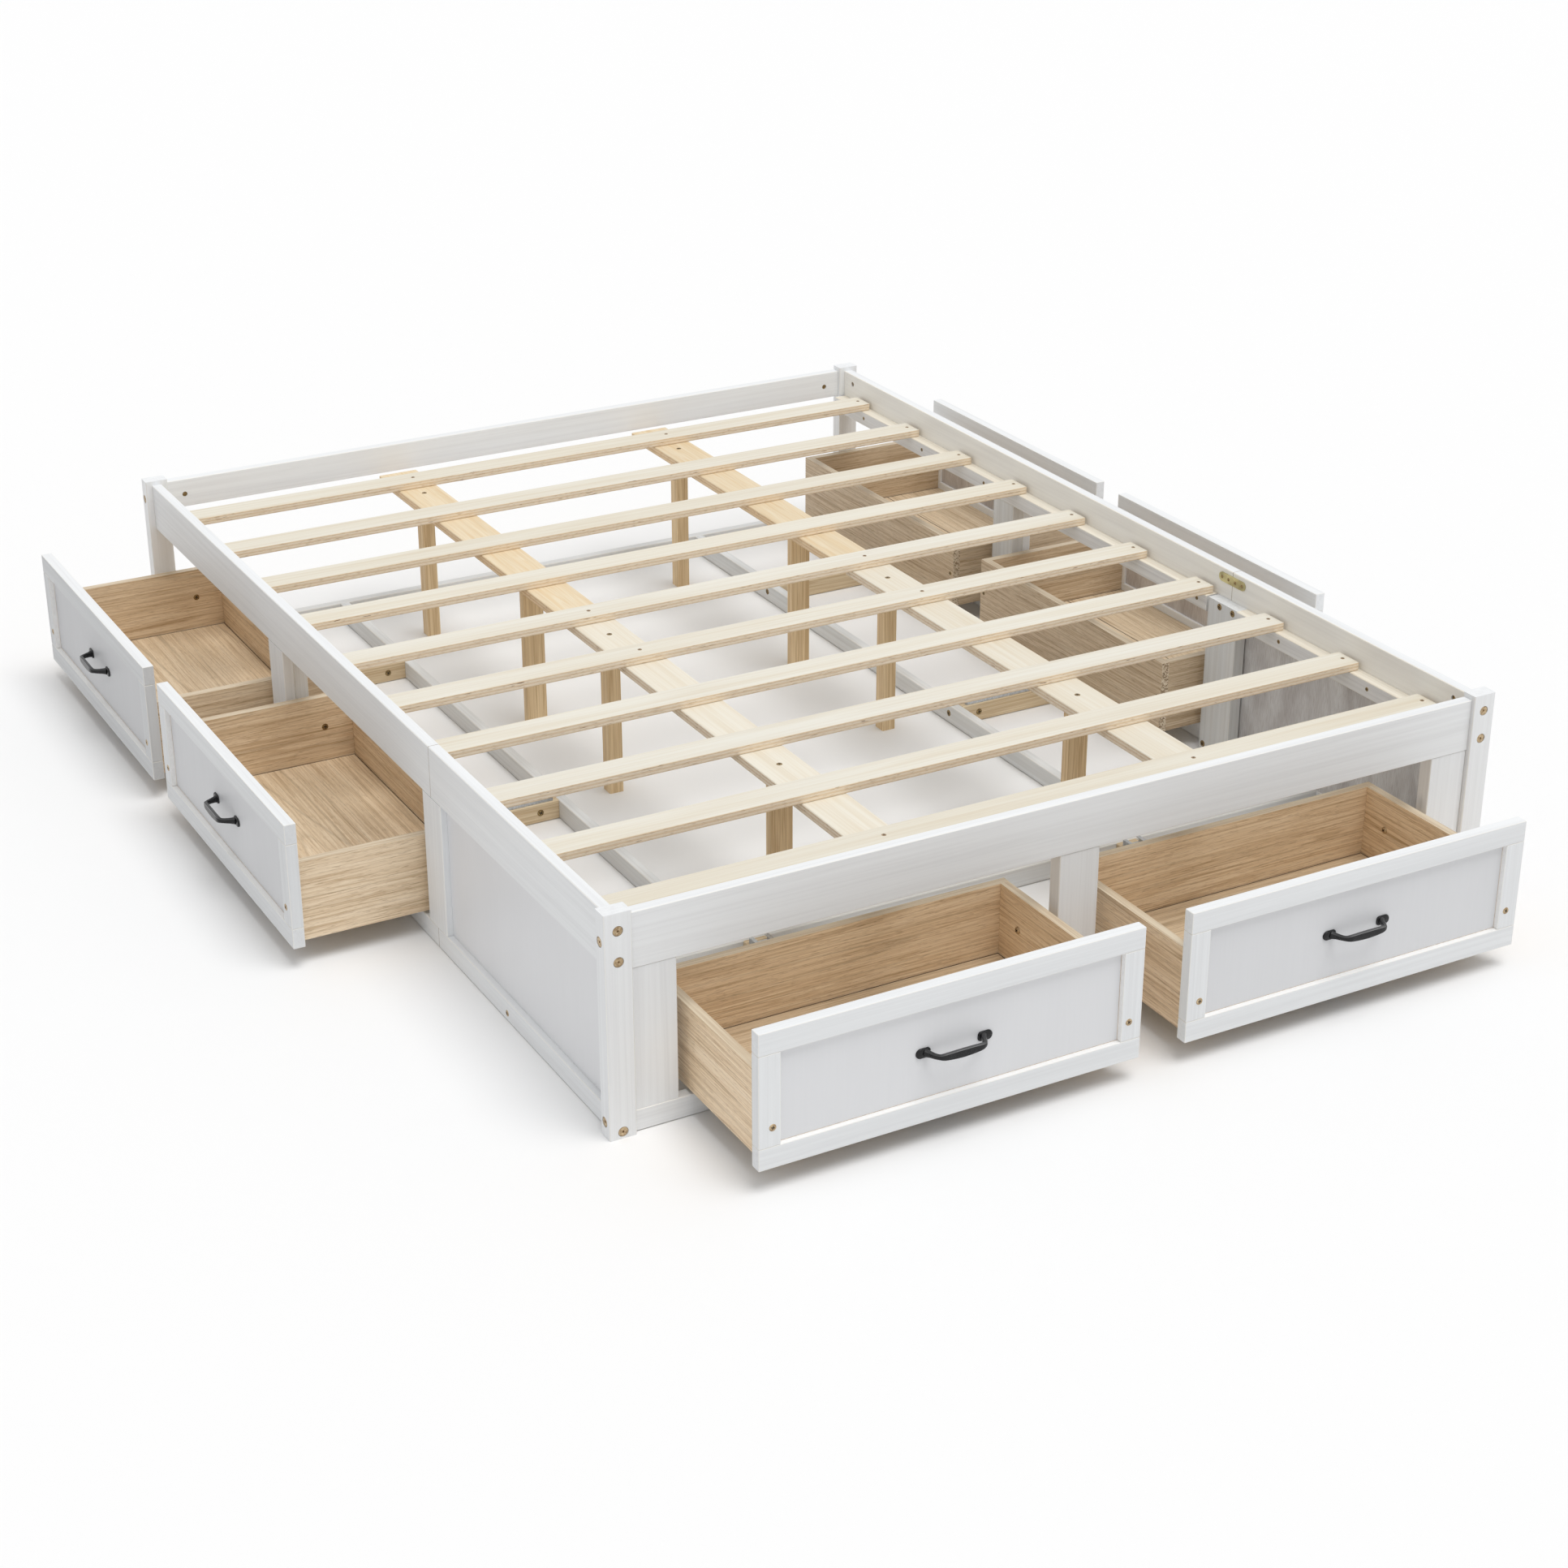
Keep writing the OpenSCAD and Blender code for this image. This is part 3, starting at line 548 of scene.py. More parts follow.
# %% Metals
def metal(name, light, dark, rough, bump, metallic, grain=0.004, shine=0.5):
    m, nt = empty_material(name)
    skin = node(nt, "TexNoise", Vector=bed_position(nt), Scale=1 / grain,
                Detail=5).outputs["Fac"]
    colour = ramp(nt, skin, [(0.35, dark), (0.65, light)])
    return finish_surface(m, colour, skin, rough, bump, 0.0003, shine, metallic)


def recolour(m, attribute, stops, mode):
    """Lets a number that a mesh carries change a finish: a ramp turns it into a colour,
    which is blended over the finish in that mode."""
    nt, base = m.node_tree, surface_inputs(m)["Base Color"]
    number = node(nt, "Attribute")
    number.attribute_name = attribute
    change = ramp(nt, number.outputs["Fac"], stops)
    plug(nt, base, blend(nt, 1.0, base.links[0].from_socket, change, mode))


IRON = metal("black_iron", (0.013, 0.013, 0.014), (0.008, 0.008, 0.009), (0.18, 0.26), 0.02,
             0.0, shine=0.28)
# Painted highlight: the grip's crest, and the band above it, lighter by the number the mesh
# carries.
recolour(IRON, "crest_highlight", [(0.0, 0.0), (0.45, 0.07), (1.0, (0.29, 0.29, 0.295))], "ADD")
ZINC = metal("zinc_steel", (0.60, 0.62, 0.64), (0.44, 0.46, 0.48), (0.28, 0.42), 0.10, 0.9)
BRASS = metal("aged_brass", (0.60, 0.47, 0.30), (0.34, 0.24, 0.14), (0.32, 0.50), 0.15,
              0.75)
DARK_BRASS = metal("dark_brass", (0.42, 0.30, 0.14), (0.12, 0.08, 0.04), (0.25, 0.45), 0.2,
                   0.85, 0.002)
WORN_BRASS = metal("worn_brass", (0.44, 0.31, 0.19), (0.25, 0.165, 0.09), (0.35, 0.50),
                   0.15, 0.6, 0.003)
YELLOW_ZINC = metal("yellow_zinc", (0.66, 0.60, 0.33), (0.38, 0.34, 0.18), (0.28, 0.42),
                    0.10, 0.7, 0.02)
# Painted shade: near black for the cross cut into the screw heads.
SHADOW = metal("screw_recess_shade", (0.045, 0.035, 0.025), (0.02, 0.016, 0.012), (0.5, 0.7), 0.1,
               0.3)
print("metals", IRON.name, ZINC.name, BRASS.name, YELLOW_ZINC.name)

# %% [markdown]
# ## Dressing the solids
#
# A solid whose shape is right only changes its material. The lines below name each one
# with its finish, and with the way its boards run where that matters.

# %% Finishes for the frame
dressed = []


def dress(names, material):
    dressed.extend(names)
    for name in names:
        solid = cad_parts[name]
        if not solid.material_slots:
            solid.data.materials.append(material)
        for place in solid.material_slots:
            place.material = material


dress(("foot_top_rail", "foot_base_rail"), WASHED["x"])
dress(("head_top_rail",), WASHED_HEAD_LIT["x"])
dress(("side_rail_left", "side_rail_right"), SIDE_RAIL)
dress(("side_base_rail_left", "side_base_rail_right"), SIDE_BASE)
dress(("post_foot_left", "post_foot_right", "foot_stiles", "side_stiles"), WASHED["z"])
dress(("post_head_left", "post_head_right"), WASHED_HEAD_LIT["z"])
dress(("inner_uprights",), WASHED_SHADED["z"])
dress(("head_base_rail", "foot_cross_rail"), WASHED_SHADED["x"])
dress(("floor_rails",), WASHED_SHADED["y"])
dress(("side_panels",), PANEL)
dress(("ledgers",), LEDGE)
dress(("centre_boards",), BOARD_PLY)
dress(("square_legs", "flat_legs"), LEG_PINE)
dress(("runner_bars",), BAR_PINE)
dress(("runner_channels",), ZINC)
dress(("mending_plates",), YELLOW_ZINC)
dress(("frame_bolts",), BRASS)
dress(("plate_screws", "barrel_nuts"), DARK_BRASS)

DRAWERS = ("foot_left", "foot_right", "left_near", "left_far", "right_near", "right_far")
for d in DRAWERS:
    side = d.split("_")[0]
    dress((d + "_box",), OAK_WALLS[side])
    dress((d + "_bottom",), OAK_BOTTOM[side])
    dress((d + "_runner",), ZINC)
print("dressed", len(dressed), "of", len(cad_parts), "solids")

# %% [markdown]
# ## Boards in mesh code
#
# The framed fronts are made board by board, as a joiner does: two rails the whole
# width, two uprights between them, and a thin panel in the middle. A board is a box
# whose edges are bevelled, so a fine groove shows wherever two boards meet.

# %% Helpers for meshes
def add_board(bm, low, high, ease, material_index):
    """Adds to bm a box between two corners, its edges eased by that much."""
    size = [h - l for l, h in zip(low, high)]
    centre = [(h + l) / 2 for l, h in zip(low, high)]
    made = bmesh.ops.create_cube(bm, size=1.0)
    bmesh.ops.scale(bm, vec=size, verts=made["verts"])
    bmesh.ops.translate(bm, vec=centre, verts=made["verts"])
    faces = {f for v in made["verts"] for f in v.link_faces}
    for f in faces:
        f.material_index = material_index
    if ease:
        edges = list({e for v in made["verts"] for e in v.link_edges})
        bmesh.ops.bevel(bm, geom=edges, offset=ease, segments=2, affect="EDGES",
                        profile=0.5, material=material_index)


def bridge(bm, a, b, material_index=0):
    """Faces between two rings of equally many points."""
    for k in range(len(a)):
        n = (k + 1) % len(a)
        bm.faces.new((a[k], a[n], b[n], b[k])).material_index = material_index


def new_piece(name, mesh, body):
    """A piece that rides on a body of the bed."""
    piece = in_room(name, mesh)
    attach(piece, body)
    return piece


def drawer_place(name):
    """Turns drawer coordinates into the bed's: x along the front, y inwards from its
    face, z up from the floor."""
    low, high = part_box(name + "_front")
    if name.startswith("foot"):
        return Matrix.Translation(((low.x + high.x) / 2, low.y, 0))
    x, turn = (low.x, -90) if name.startswith("left") else (high.x, 90)
    return (Matrix.Translation((x, (low.y + high.y) / 2, 0))
            @ Matrix.Rotation(math.radians(turn), 4, "Z"))


def drawer_piece(bm, drawer, what, materials, smooth=False):
    """A piece that rides on a drawer, from a bm in drawer coordinates."""
    name = drawer + "_" + what
    bm.transform(drawer_place(drawer))
    bmesh.ops.recalc_face_normals(bm, faces=bm.faces)
    mesh = as_mesh(bm, name)
    for m in materials:
        mesh.materials.append(m)
    if smooth:
        mesh.shade_smooth()
        mesh.set_sharp_from_angle(angle=math.radians(38))
    return new_piece(name, mesh, drawer + "_drawer")


# %% [markdown]
# ## Finishes for the fronts
#
# Each front has a share of lightness for its boards and one for its panel, painted
# shade: those on the left are a little greyer than those at the foot and on the right.
# The backs get a lighter, cooler tint, painted light. The narrow edges round the panel
# take a whiter wash, a painted highlight, and where the panel slips into its groove a
# line of raw wood shows.

# %% Wood, panel, edge and groove
# Painted light: the backs of the fronts, which stand in shade, are lightened and cooled.
BACK_LIGHT_TINT = (1.09, 1.11, 1.12)
# Painted shade: each front's boards and panel are darkened by these shares.
FRONT_SHADE_SHARES = {            # of the boards and of the panel
    "foot_left": (0.93, 0.95), "foot_right": (0.93, 0.895), "left_near": (0.865, 0.85),
    "left_far": (0.73, 0.75), "right_near": (1.0, 0.95), "right_far": (1.0, 0.95)}
# A whiter copy of the wash for the edges round the panel: a painted highlight.
EDGE_HIGHLIGHT = {a: washed_wood("edge_highlight_" + a, a, (0.90, 0.895, 0.88), (0.86, 0.85, 0.835))
             for a in "xy"}


def raw_line(name, axis, dark_to_light, rough, detail=4.0):
    m, nt = empty_material(name)
    fine = streaks(nt, axis, 0.004, 0.03, detail)
    return finish_surface(m, ramp(nt, fine, dark_to_light), fine, rough, 0.1)


GROOVE = raw_line("raw_groove", "z", [(0.3, (0.46, 0.38, 0.31)),
                                      (0.65, (0.70, 0.61, 0.52))], (0.6, 0.8))


def front_finishes(name):
    along = "x" if name.startswith("foot") else "y"
    share, panel_shade_share = FRONT_SHADE_SHARES[name]
    boards = [washed_wood("%s_front_wood_%s" % (name, a), a, share=share,
                          inner_light_tint=BACK_LIGHT_TINT) for a in (along, "z")]
    panel = sunk_panel_finish(name + "_front_panel", panel_shade_share,
                              ((0.50, 0.475, 0.47), (0.69, 0.675, 0.67)))
    return (*boards, panel, EDGE_HIGHLIGHT[along], GROOVE)


print("whitest edges", [m.name for m in EDGE_HIGHLIGHT.values()], "groove", GROOVE.name)

# %% Drawer fronts
BORDER = 0.035              # width of the rails and uprights
SINK = 0.009                # how far the panel lies behind the front's face
PANEL_T = 0.006
TONGUE = 0.004              # how far the panel runs into its groove
RAIL, UPRIGHT, PANEL_FACE, EDGE, GROOVE_LINE = range(5)     # as in front_finishes


def paint_highlight_on_inner_edges(bm, half, bottom, top):
    """Gives the faces that look at the panel from the border a whiter wash, a painted
    highlight.
    """
    bm.normal_update()
    near = 0.0005
    for f in bm.faces:
        c = f.calc_center_median()
        inside = abs(c.x) < half + near and bottom - near < c.z < top + near
        if inside and abs(f.normal.y) < 0.1:
            f.material_index = EDGE


def add_groove_lines(bm, half, bottom, top):
    """A fine strip of raw wood all round the panel, where it enters its groove."""
    line, proud = 0.0009, 0.0002
    for x in (-half, half - line):
        add_board(bm, (x, SINK - proud, bottom), (x + line, SINK, top), 0, GROOVE_LINE)
    for z in (bottom, top - line):
        add_board(bm, (-half + line, SINK - proud, z), (half - line, SINK, z + line), 0,
                  GROOVE_LINE)


def make_front(name):
    low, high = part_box(name + "_front")
    t, w = sorted((high.x - low.x, high.y - low.y))
    half, bottom, top = w / 2 - BORDER, low.z + BORDER, high.z - BORDER
    ease, seam = 0.0011, 0.00015
    bm = bmesh.new()
    for z in (low.z, top):
        add_board(bm, (-w / 2, 0, z), (w / 2, t, z + BORDER), ease, RAIL)
    for x in (-w / 2, half):
        add_board(bm, (x, 0, bottom + seam), (x + BORDER, t, top - seam), ease, UPRIGHT)
    paint_highlight_on_inner_edges(bm, half, bottom, top)
    add_board(bm, (-half - TONGUE, SINK, bottom - TONGUE),
              (half + TONGUE, SINK + PANEL_T, top + TONGUE), 0, PANEL_FACE)
    add_groove_lines(bm, half, bottom, top)
    front = drawer_piece(bm, name, "framed_front", front_finishes(name))
    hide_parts(name + "_front")
    return front


fronts = [make_front(d) for d in DRAWERS]
print("fronts", [f.name for f in fronts], "faces each", len(fronts[0].data.polygons))

# %% [markdown]
# ## Cast pulls
#
# A pull is one casting: a flat foot with a rounded outer end on each side, a neck that
# swells out of it and leans inwards, and a straight grip, a blade with a soft ridge near
# its upper edge and a lower edge that swells in the middle. The grip is swept: rings of
# points set square to a path, each with the depth and height of its station. A smooth
# curve through a few stations is easier to shape than many points.

# %% Path and section of a pull
PULL_HALF = 0.0515          # from the pull's middle to that of each foot
PULL_Z = 0.1475             # its height above the floor
BLADE_END, BLADE_FADE = 0.0375, 0.008
CREST = 0.80                # angle round the grip at which its crest lies
# along the front, depth from its face, rise, half depth, half height
PULL_STATIONS = (
    (0.0475, 0.0066, 0.0000, 0.0056, 0.0066),
    (0.0450, 0.0010, 0.0001, 0.0045, 0.0052),
    (0.0415, -0.0075, 0.0004, 0.0038, 0.0044),
    (0.0370, -0.0142, 0.0007, 0.0036, 0.0043),
    (0.0300, -0.0168, 0.0006, 0.0034, 0.0052),
    (0.0150, -0.0171, 0.0000, 0.0032, 0.0064),
    (0.0000, -0.0172, -0.0002, 0.0032, 0.0068))


def along_stations(rows, t):
    """A smooth value between rows of numbers, t from 0 to 1 over all of them."""
    place = t * (len(rows) - 1)
    i = min(int(place), len(rows) - 2)
    f = place - i
    a, b, c, d = (rows[max(0, min(len(rows) - 1, k))] for k in (i - 1, i, i + 1, i + 2))
    return [0.5 * (2 * q + (r - p) * f + (2 * p - 5 * q + 4 * r - u) * f * f
                   + (3 * q - p - 3 * r + u) * f ** 3) for p, q, r, u in zip(a, b, c, d)]


def grip_rings(count):
    rows = [(-x, *rest) for x, *rest in PULL_STATIONS] + list(PULL_STATIONS[-2::-1])
    return [along_stations(rows, i / count) for i in range(count + 1)]


def grip_section(deep, high, blade, sides):
    """Points round the grip: an oval in the necks, and in the blade a box with flat
    faces and a crest along its upper front edge."""
    power = 2 / (2.2 + 2.0 * blade)
    points = []
    for k in range(sides):
        a = 2 * math.pi * (k + 0.5) / sides
        c, u = math.cos(a), math.sin(a)
        crest = 0.0007 * blade * math.exp(-((a - CREST) / 0.20) ** 2)
        points.append((deep * math.copysign(abs(c) ** power, c) + 0.6 * crest,
                       high * math.copysign(abs(u) ** power, u) + crest))
    return points


def crest_highlight_share(a, blade):
    """How much painted highlight the grip takes at angle a round it: most on the crest,
    and some on the band above it."""
    crest = math.exp(-((a - CREST) / 0.13) ** 2)
    band = 0.45 if 0.9 < a < 2.3 else 0.0
    return max(crest, band) * (0.35 + 0.65 * blade)


# %% Mesh of a pull
def sweep_grip(bm, count=48, sides=28):
    rows = grip_rings(count)
    crest_highlight = bm.verts.layers.float.new("crest_highlight")
    loops = []
    for i, (x, y, z, deep, high) in enumerate(rows):
        before, after = rows[max(0, i - 1)], rows[min(count, i + 1)]
        ahead = Vector((after[0] - before[0], after[1] - before[1], 0)).normalized()
        outward = Vector((ahead.y, -ahead.x, 0))
        blade = min(1.0, max(0.0, (BLADE_END - abs(x)) / BLADE_FADE))
        loops.append([bm.verts.new(Vector((x, y, PULL_Z + z + u)) + outward * o)
                      for o, u in grip_section(deep, high, blade, sides)])
        for k, v in enumerate(loops[-1]):
            v[crest_highlight] = crest_highlight_share(2 * math.pi * (k + 0.5) / sides, blade)
    for a, b in zip(loops, loops[1:]):
        bridge(bm, a, b)
    bm.faces.new(loops[0])
    bm.faces.new(loops[-1])


def add_pull_foot(bm, s, length=0.024, height=0.0155):
    """Flat plate with a round outer end and a domed rim, s being its side."""
    outline = []
    outer, inner = height / 2 - 0.0002, 0.0052      # radii of its corners
    for way, r, first in ((1, outer, -0.5), (1, outer, 0.0), (-1, inner, 0.5),
                          (-1, inner, 1.0)):
        up = -1 if first in (-0.5, 1.0) else 1
        for k in range(8):
            a = math.pi * (first + k / 14)
            outline.append((s * (PULL_HALF + way * (length / 2 - r) + r * math.cos(a)),
                            up * (height / 2 - r) + r * math.sin(a)))
    centre = s * PULL_HALF
    last = [bm.verts.new((x, SINK, PULL_Z + z)) for x, z in outline]
    bm.faces.new(last)
    for depth, share in ((0.0016, 1.0), (0.0026, 0.94), (0.0032, 0.80)):
        ring = [bm.verts.new((centre + (x - centre) * share, SINK - depth,
                              PULL_Z + z * share)) for x, z in outline]
        bridge(bm, last, ring)
        last = ring
    bm.faces.new(last)


def make_pull(name):
    bm = bmesh.new()
    sweep_grip(bm)
    for s in (-1, 1):
        add_pull_foot(bm, s)
    pull = drawer_piece(bm, name, "cast_pull", (IRON,), smooth=True)
    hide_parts(name + "_pull")
    return pull


pulls = [make_pull(d) for d in DRAWERS]
print("pulls", len(pulls), "faces each", len(pulls[0].data.polygons))

# %% [markdown]
# ## Screws
#
# Small heads repeat all over the bed. Each set is a handful of points, and a Geometry
# Nodes tree puts one head on every point, turned to its surface, then realises them
# into plain mesh. A set's head is drawn once, with a cross in it, and the tree paints
# everything but the cross, so the recess keeps a near-black finish, painted shade.

# %% Helpers for trees
def repeating_tree(name, inputs):
    """A tree that sets a part on points, realises the copies and gives them a finish;
    inputs are its other named ones. Returns it with the nodes still to be linked."""
    tree = bpy.data.node_groups.new(name, "GeometryNodeTree")
    for title, kind in (("Geometry", "Geometry"), ("Part", "Object"),
                        ("Finish", "Material"), *inputs):
        tree.interface.new_socket(title, in_out="INPUT", socket_type="NodeSocket" + kind)
    tree.interface.new_socket("Geometry", in_out="OUTPUT", socket_type="NodeSocketGeometry")
    start, info, put, real, paint, end = (tree.nodes.new(kind) for kind in (
        "NodeGroupInput", "GeometryNodeObjectInfo", "GeometryNodeInstanceOnPoints",
        "GeometryNodeRealizeInstances", "GeometryNodeSetMaterial", "NodeGroupOutput"))
    wire(tree, (
        (start, "Part", info, "Object"), (info, "Geometry", put, "Instance"),
        (real, 0, paint, "Geometry"), (start, "Finish", paint, "Material"),
        (paint, 0, end, 0)))
    return tree, start, put, real, paint


def grow(name, tree, start, part, inputs):
    """The plain mesh that a tree makes from a mesh to start on, a part to repeat and
    its other inputs, by name."""
    holder, repeated = in_room(name + "_start", start), in_room(name + "_part", part)
    modifier = holder.modifiers.new("tree", "NODES")
    modifier.node_group = tree
    values = {"Part": repeated, **inputs}           # by socket name
    for item in tree.interface.items_tree:
        if item.item_type == "SOCKET" and item.in_out == "INPUT" and item.name in values:
            modifier[item.identifier] = values[item.name]
    graph = bpy.context.evaluated_depsgraph_get()
    made = bpy.data.meshes.new_from_object(holder.evaluated_get(graph))
    made.name = name
    for helper in (holder, repeated):
        bpy.data.objects.remove(helper)
    return made


# %% A screw head
def head_mesh(radius, height):
    """A shallow dome pointing up Z, with a cross cut into it."""
    bm = bmesh.new()
    sides = 16
    rings = [(1.0, 0.0), (0.96, 0.55), (0.72, 0.9)]
    loops = [[bm.verts.new((radius * r * math.cos(2 * math.pi * k / sides),
                            radius * r * math.sin(2 * math.pi * k / sides), height * h))
              for k in range(sides)] for r, h in rings]
    bm.faces.new(reversed(loops[0]))
    for a, b in zip(loops, loops[1:]):
        bridge(bm, a, b)
    arm, half = radius * 0.55, radius * 0.13
    outline = [(arm, -half), (arm, half), (half, half), (half, arm), (-half, arm),
               (-half, half), (-arm, half), (-arm, -half), (-half, -half), (-half, -arm),
               (half, -arm), (half, -half)]
    rim = [bm.verts.new((x, y, height)) for x, y in outline]
    pit = [bm.verts.new((x * 0.9, y * 0.9, height * 0.2)) for x, y in outline]
    bridge(bm, rim, pit, 1)
    bm.faces.new(pit).material_index = 1
    edges = [e for e in bm.edges if len(e.link_faces) == 1]
    bmesh.ops.triangle_fill(bm, edges=edges, use_beauty=True)
    bmesh.ops.recalc_face_normals(bm, faces=bm.faces)
    return as_mesh(bm, "screw_head")


# %% The tree that sets a head on every point
def screw_tree():
    tree, start, put, real, paint = repeating_tree("heads_on_points",
                                                   [("Recess", "Material")])
    n = tree.nodes.new
    recess, rest = n("GeometryNodeMaterialSelection"), n("FunctionNodeBooleanMath")
    rest.operation = "NOT"
    way = n("GeometryNodeInputNamedAttribute")
    way.data_type = "FLOAT_VECTOR"
    way.inputs["Name"].default_value = "out_of_surface"
    turn = n("FunctionNodeAlignRotationToVector")
    turn.axis = "Z"
    spin, roll = n("FunctionNodeRandomValue"), n("FunctionNodeRotateRotation")
    roll.rotation_space = "LOCAL"
    spin.data_type = "FLOAT"
    spin.inputs[3].default_value = 6.283        # a whole turn
    spin.inputs["Seed"].default_value = 4
    axis, to_rotation = n("ShaderNodeCombineXYZ"), n("FunctionNodeEulerToRotation")
    wire(tree, (
        (start, "Geometry", put, "Points"), (way, "Attribute", turn, "Vector"),
        (spin, 1, axis, "Z"), (axis, 0, to_rotation, 0), (turn, 0, roll, 0),
        (to_rotation, 0, roll, 1), (roll, 0, put, "Rotation"), (put, 0, real, 0),
        (start, "Recess", recess, 0), (recess, 0, rest, 0), (rest, 0, paint, "Selection")))
    return tree


SCREW_TREE = screw_tree()


def set_heads(name, spots, body, metal_used, radius, proud):
    """spots: pairs of a point and the direction out of the surface there; proud: how
    far a head stands out of it."""
    points = bpy.data.meshes.new(name + "_points")
    points.from_pydata([tuple(p) for p, _ in spots], [], [])
    way = points.attributes.new("out_of_surface", "FLOAT_VECTOR", "POINT")
    for item, (_, d) in zip(way.data, spots):
        item.vector = d
    head = head_mesh(radius, proud)
    for m in (metal_used, SHADOW):
        head.materials.append(m)
    made = grow(name, SCREW_TREE, points, head, {"Finish": metal_used, "Recess": SHADOW})
    return new_piece(name, made, body)


print("screw tree", SCREW_TREE.name, "nodes", len(SCREW_TREE.nodes))

# %% [markdown]
# ## Slats
#
# Ten equal boards at one pitch, so a tree lays them out: one slat with rounded edges is
# set on every point of a line, and each takes a number of its own, from a fixed seed,
# that the finish turns into a slightly lighter or warmer face.

# %% Slats
def slat_tree():
    tree, start, put, real, _ = repeating_tree("slats_along_bed", [
        ("Count", "Int"), ("Pitch", "Float"), ("First", "Vector")])
    n = tree.nodes.new
    line, step = n("GeometryNodeMeshLine"), n("ShaderNodeCombineXYZ")
    chance, store = n("FunctionNodeRandomValue"), n("GeometryNodeStoreNamedAttribute")
    chance.data_type = "FLOAT"
    chance.inputs["Seed"].default_value = 59
    store.domain = "INSTANCE"
    store.data_type = "FLOAT"
    store.inputs["Name"].default_value = "tone"
    wire(tree, (
        (start, "Count", line, "Count"), (start, "First", line, "Start Location"),
        (start, "Pitch", step, "Y"), (step, 0, line, "Offset"), (line, 0, put, "Points"),
        (put, 0, store, "Geometry"), (chance, 1, store, "Value"), (store, 0, real, 0)))
    return tree


def make_slats():
    half, ease = (slat_high.x - slat_low.x) / 2, 0.0014
    bm = bmesh.new()
    add_board(bm, (-half, -SLAT_W / 2, -SLAT_T), (half, SLAT_W / 2, 0), ease, 0)
    made = grow("plywood_slats", slat_tree(), bpy.data.meshes.new("slat_start"),
                as_mesh(bm, "one_slat"),
                {"Count": SLATS, "Pitch": slat_pitch, "Finish": SLAT_PLY,
                 "First": (0.0, slat_low.y + SLAT_W / 2, slat_high.z)})
    piece = new_piece("plywood_slats", made, "frame")
    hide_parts("slats")
    return piece


recolour(SLAT_PLY, "tone", [(0.0, (0.965, 0.94, 0.895)), (0.5, 1.0),
                            (1.0, (1.0, 0.985, 0.955))], "MULTIPLY")
slats = make_slats()
print("slats", SLATS, "pitch", round(slat_pitch, 4), "faces", len(slats.data.polygons))

# %% Screws in slats and centre boards
UP = (0, 0, 1)
BOARD_X = 0.284             # from the bed's middle line to that of a centre board
SLAT_END = 0.014            # from a slat's end to its screw
FLAT_LEG_HALF, SQUARE_LEG_HALF = 0.009, 0.0135
slat_rows = [slat_low.y + SLAT_W / 2 + i * slat_pitch for i in range(SLATS)]
end_spots = [((s * (slat_high.x - SLAT_END), y, slat_high.z), UP)
             for y in slat_rows for s in (-1, 1)]
middle_spots = [((s * BOARD_X, slat_rows[i], slat_high.z), UP)
                for i in (0, 4, 5, 9) for s in (-1, 1)]
set_heads("slat_end_screws", end_spots, "frame", WORN_BRASS, 0.0036, 0.0006)
set_heads("slat_middle_screws", middle_spots, "frame", WORN_BRASS, 0.0038, 0.0006)

board_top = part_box("centre_boards")[1].z
flat_low, flat_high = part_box("flat_legs")
square_low, square_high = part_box("square_legs")
leg_ys = (flat_low.y + FLAT_LEG_HALF, flat_high.y - FLAT_LEG_HALF,
          square_low.y + SQUARE_LEG_HALF, square_high.y - SQUARE_LEG_HALF)
leg_spots = [((s * BOARD_X, y, board_top), UP) for s in (-1, 1) for y in leg_ys]
set_heads("leg_screws", leg_spots, "frame", DARK_BRASS, 0.0050, 0.0006)
print("slat screws", len(end_spots) + len(middle_spots), "leg screws", len(leg_spots))

# %% [markdown]
# ## Bolts and screws in the frame
#
# The ledges are screwed to the rails every 240 mm, the uprights behind the seam are
# bolted, and so are the floor rails where a runner bar meets them. These face the bed's
# middle line or the foot. Outside, one screw shows on each side's base rail.

# %% Fasteners in the frame
ledge_low, ledge_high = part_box("ledgers")
upright_low, upright_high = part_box("inner_uprights")
rail_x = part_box("floor_rails")[1].x
bars_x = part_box("runner_bars")[1].x
base_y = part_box("side_base_rail_left")[0].y
base_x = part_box("side_base_rail_right")[1].x
LEDGE_W, UPRIGHT_T, UPRIGHT_W, FLOOR_RAIL_T = 0.025, 0.024, 0.084, 0.0187
LEDGE_FIRST, LEDGE_PITCH, LEDGE_UP = 0.205, 0.24, 0.016     # screws along a ledge
# from the upright's near edge, and height above the floor
UPRIGHT_BOLTS = ((0.012, 0.293), (0.050, 0.293), (UPRIGHT_W - 0.012, 0.014))
RAIL_BOLT_Z = 0.020
BAR_HALF = 0.020                            # half the width of a runner bar
BAR_BOLT_IN, BAR_BOLT_Z = 0.314, 0.019      # from its outer end, and above the floor
BASE_SCREW_IN, BASE_SCREW_Z = 0.358, 0.014  # from the rail's near end, and above the floor
NEAR_UPRIGHT = 0.02                         # no ledge screw closer to an upright
drawer_rows = [sum(corner.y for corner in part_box(d + "_front")) / 2
               for d in ("left_near", "left_far")]

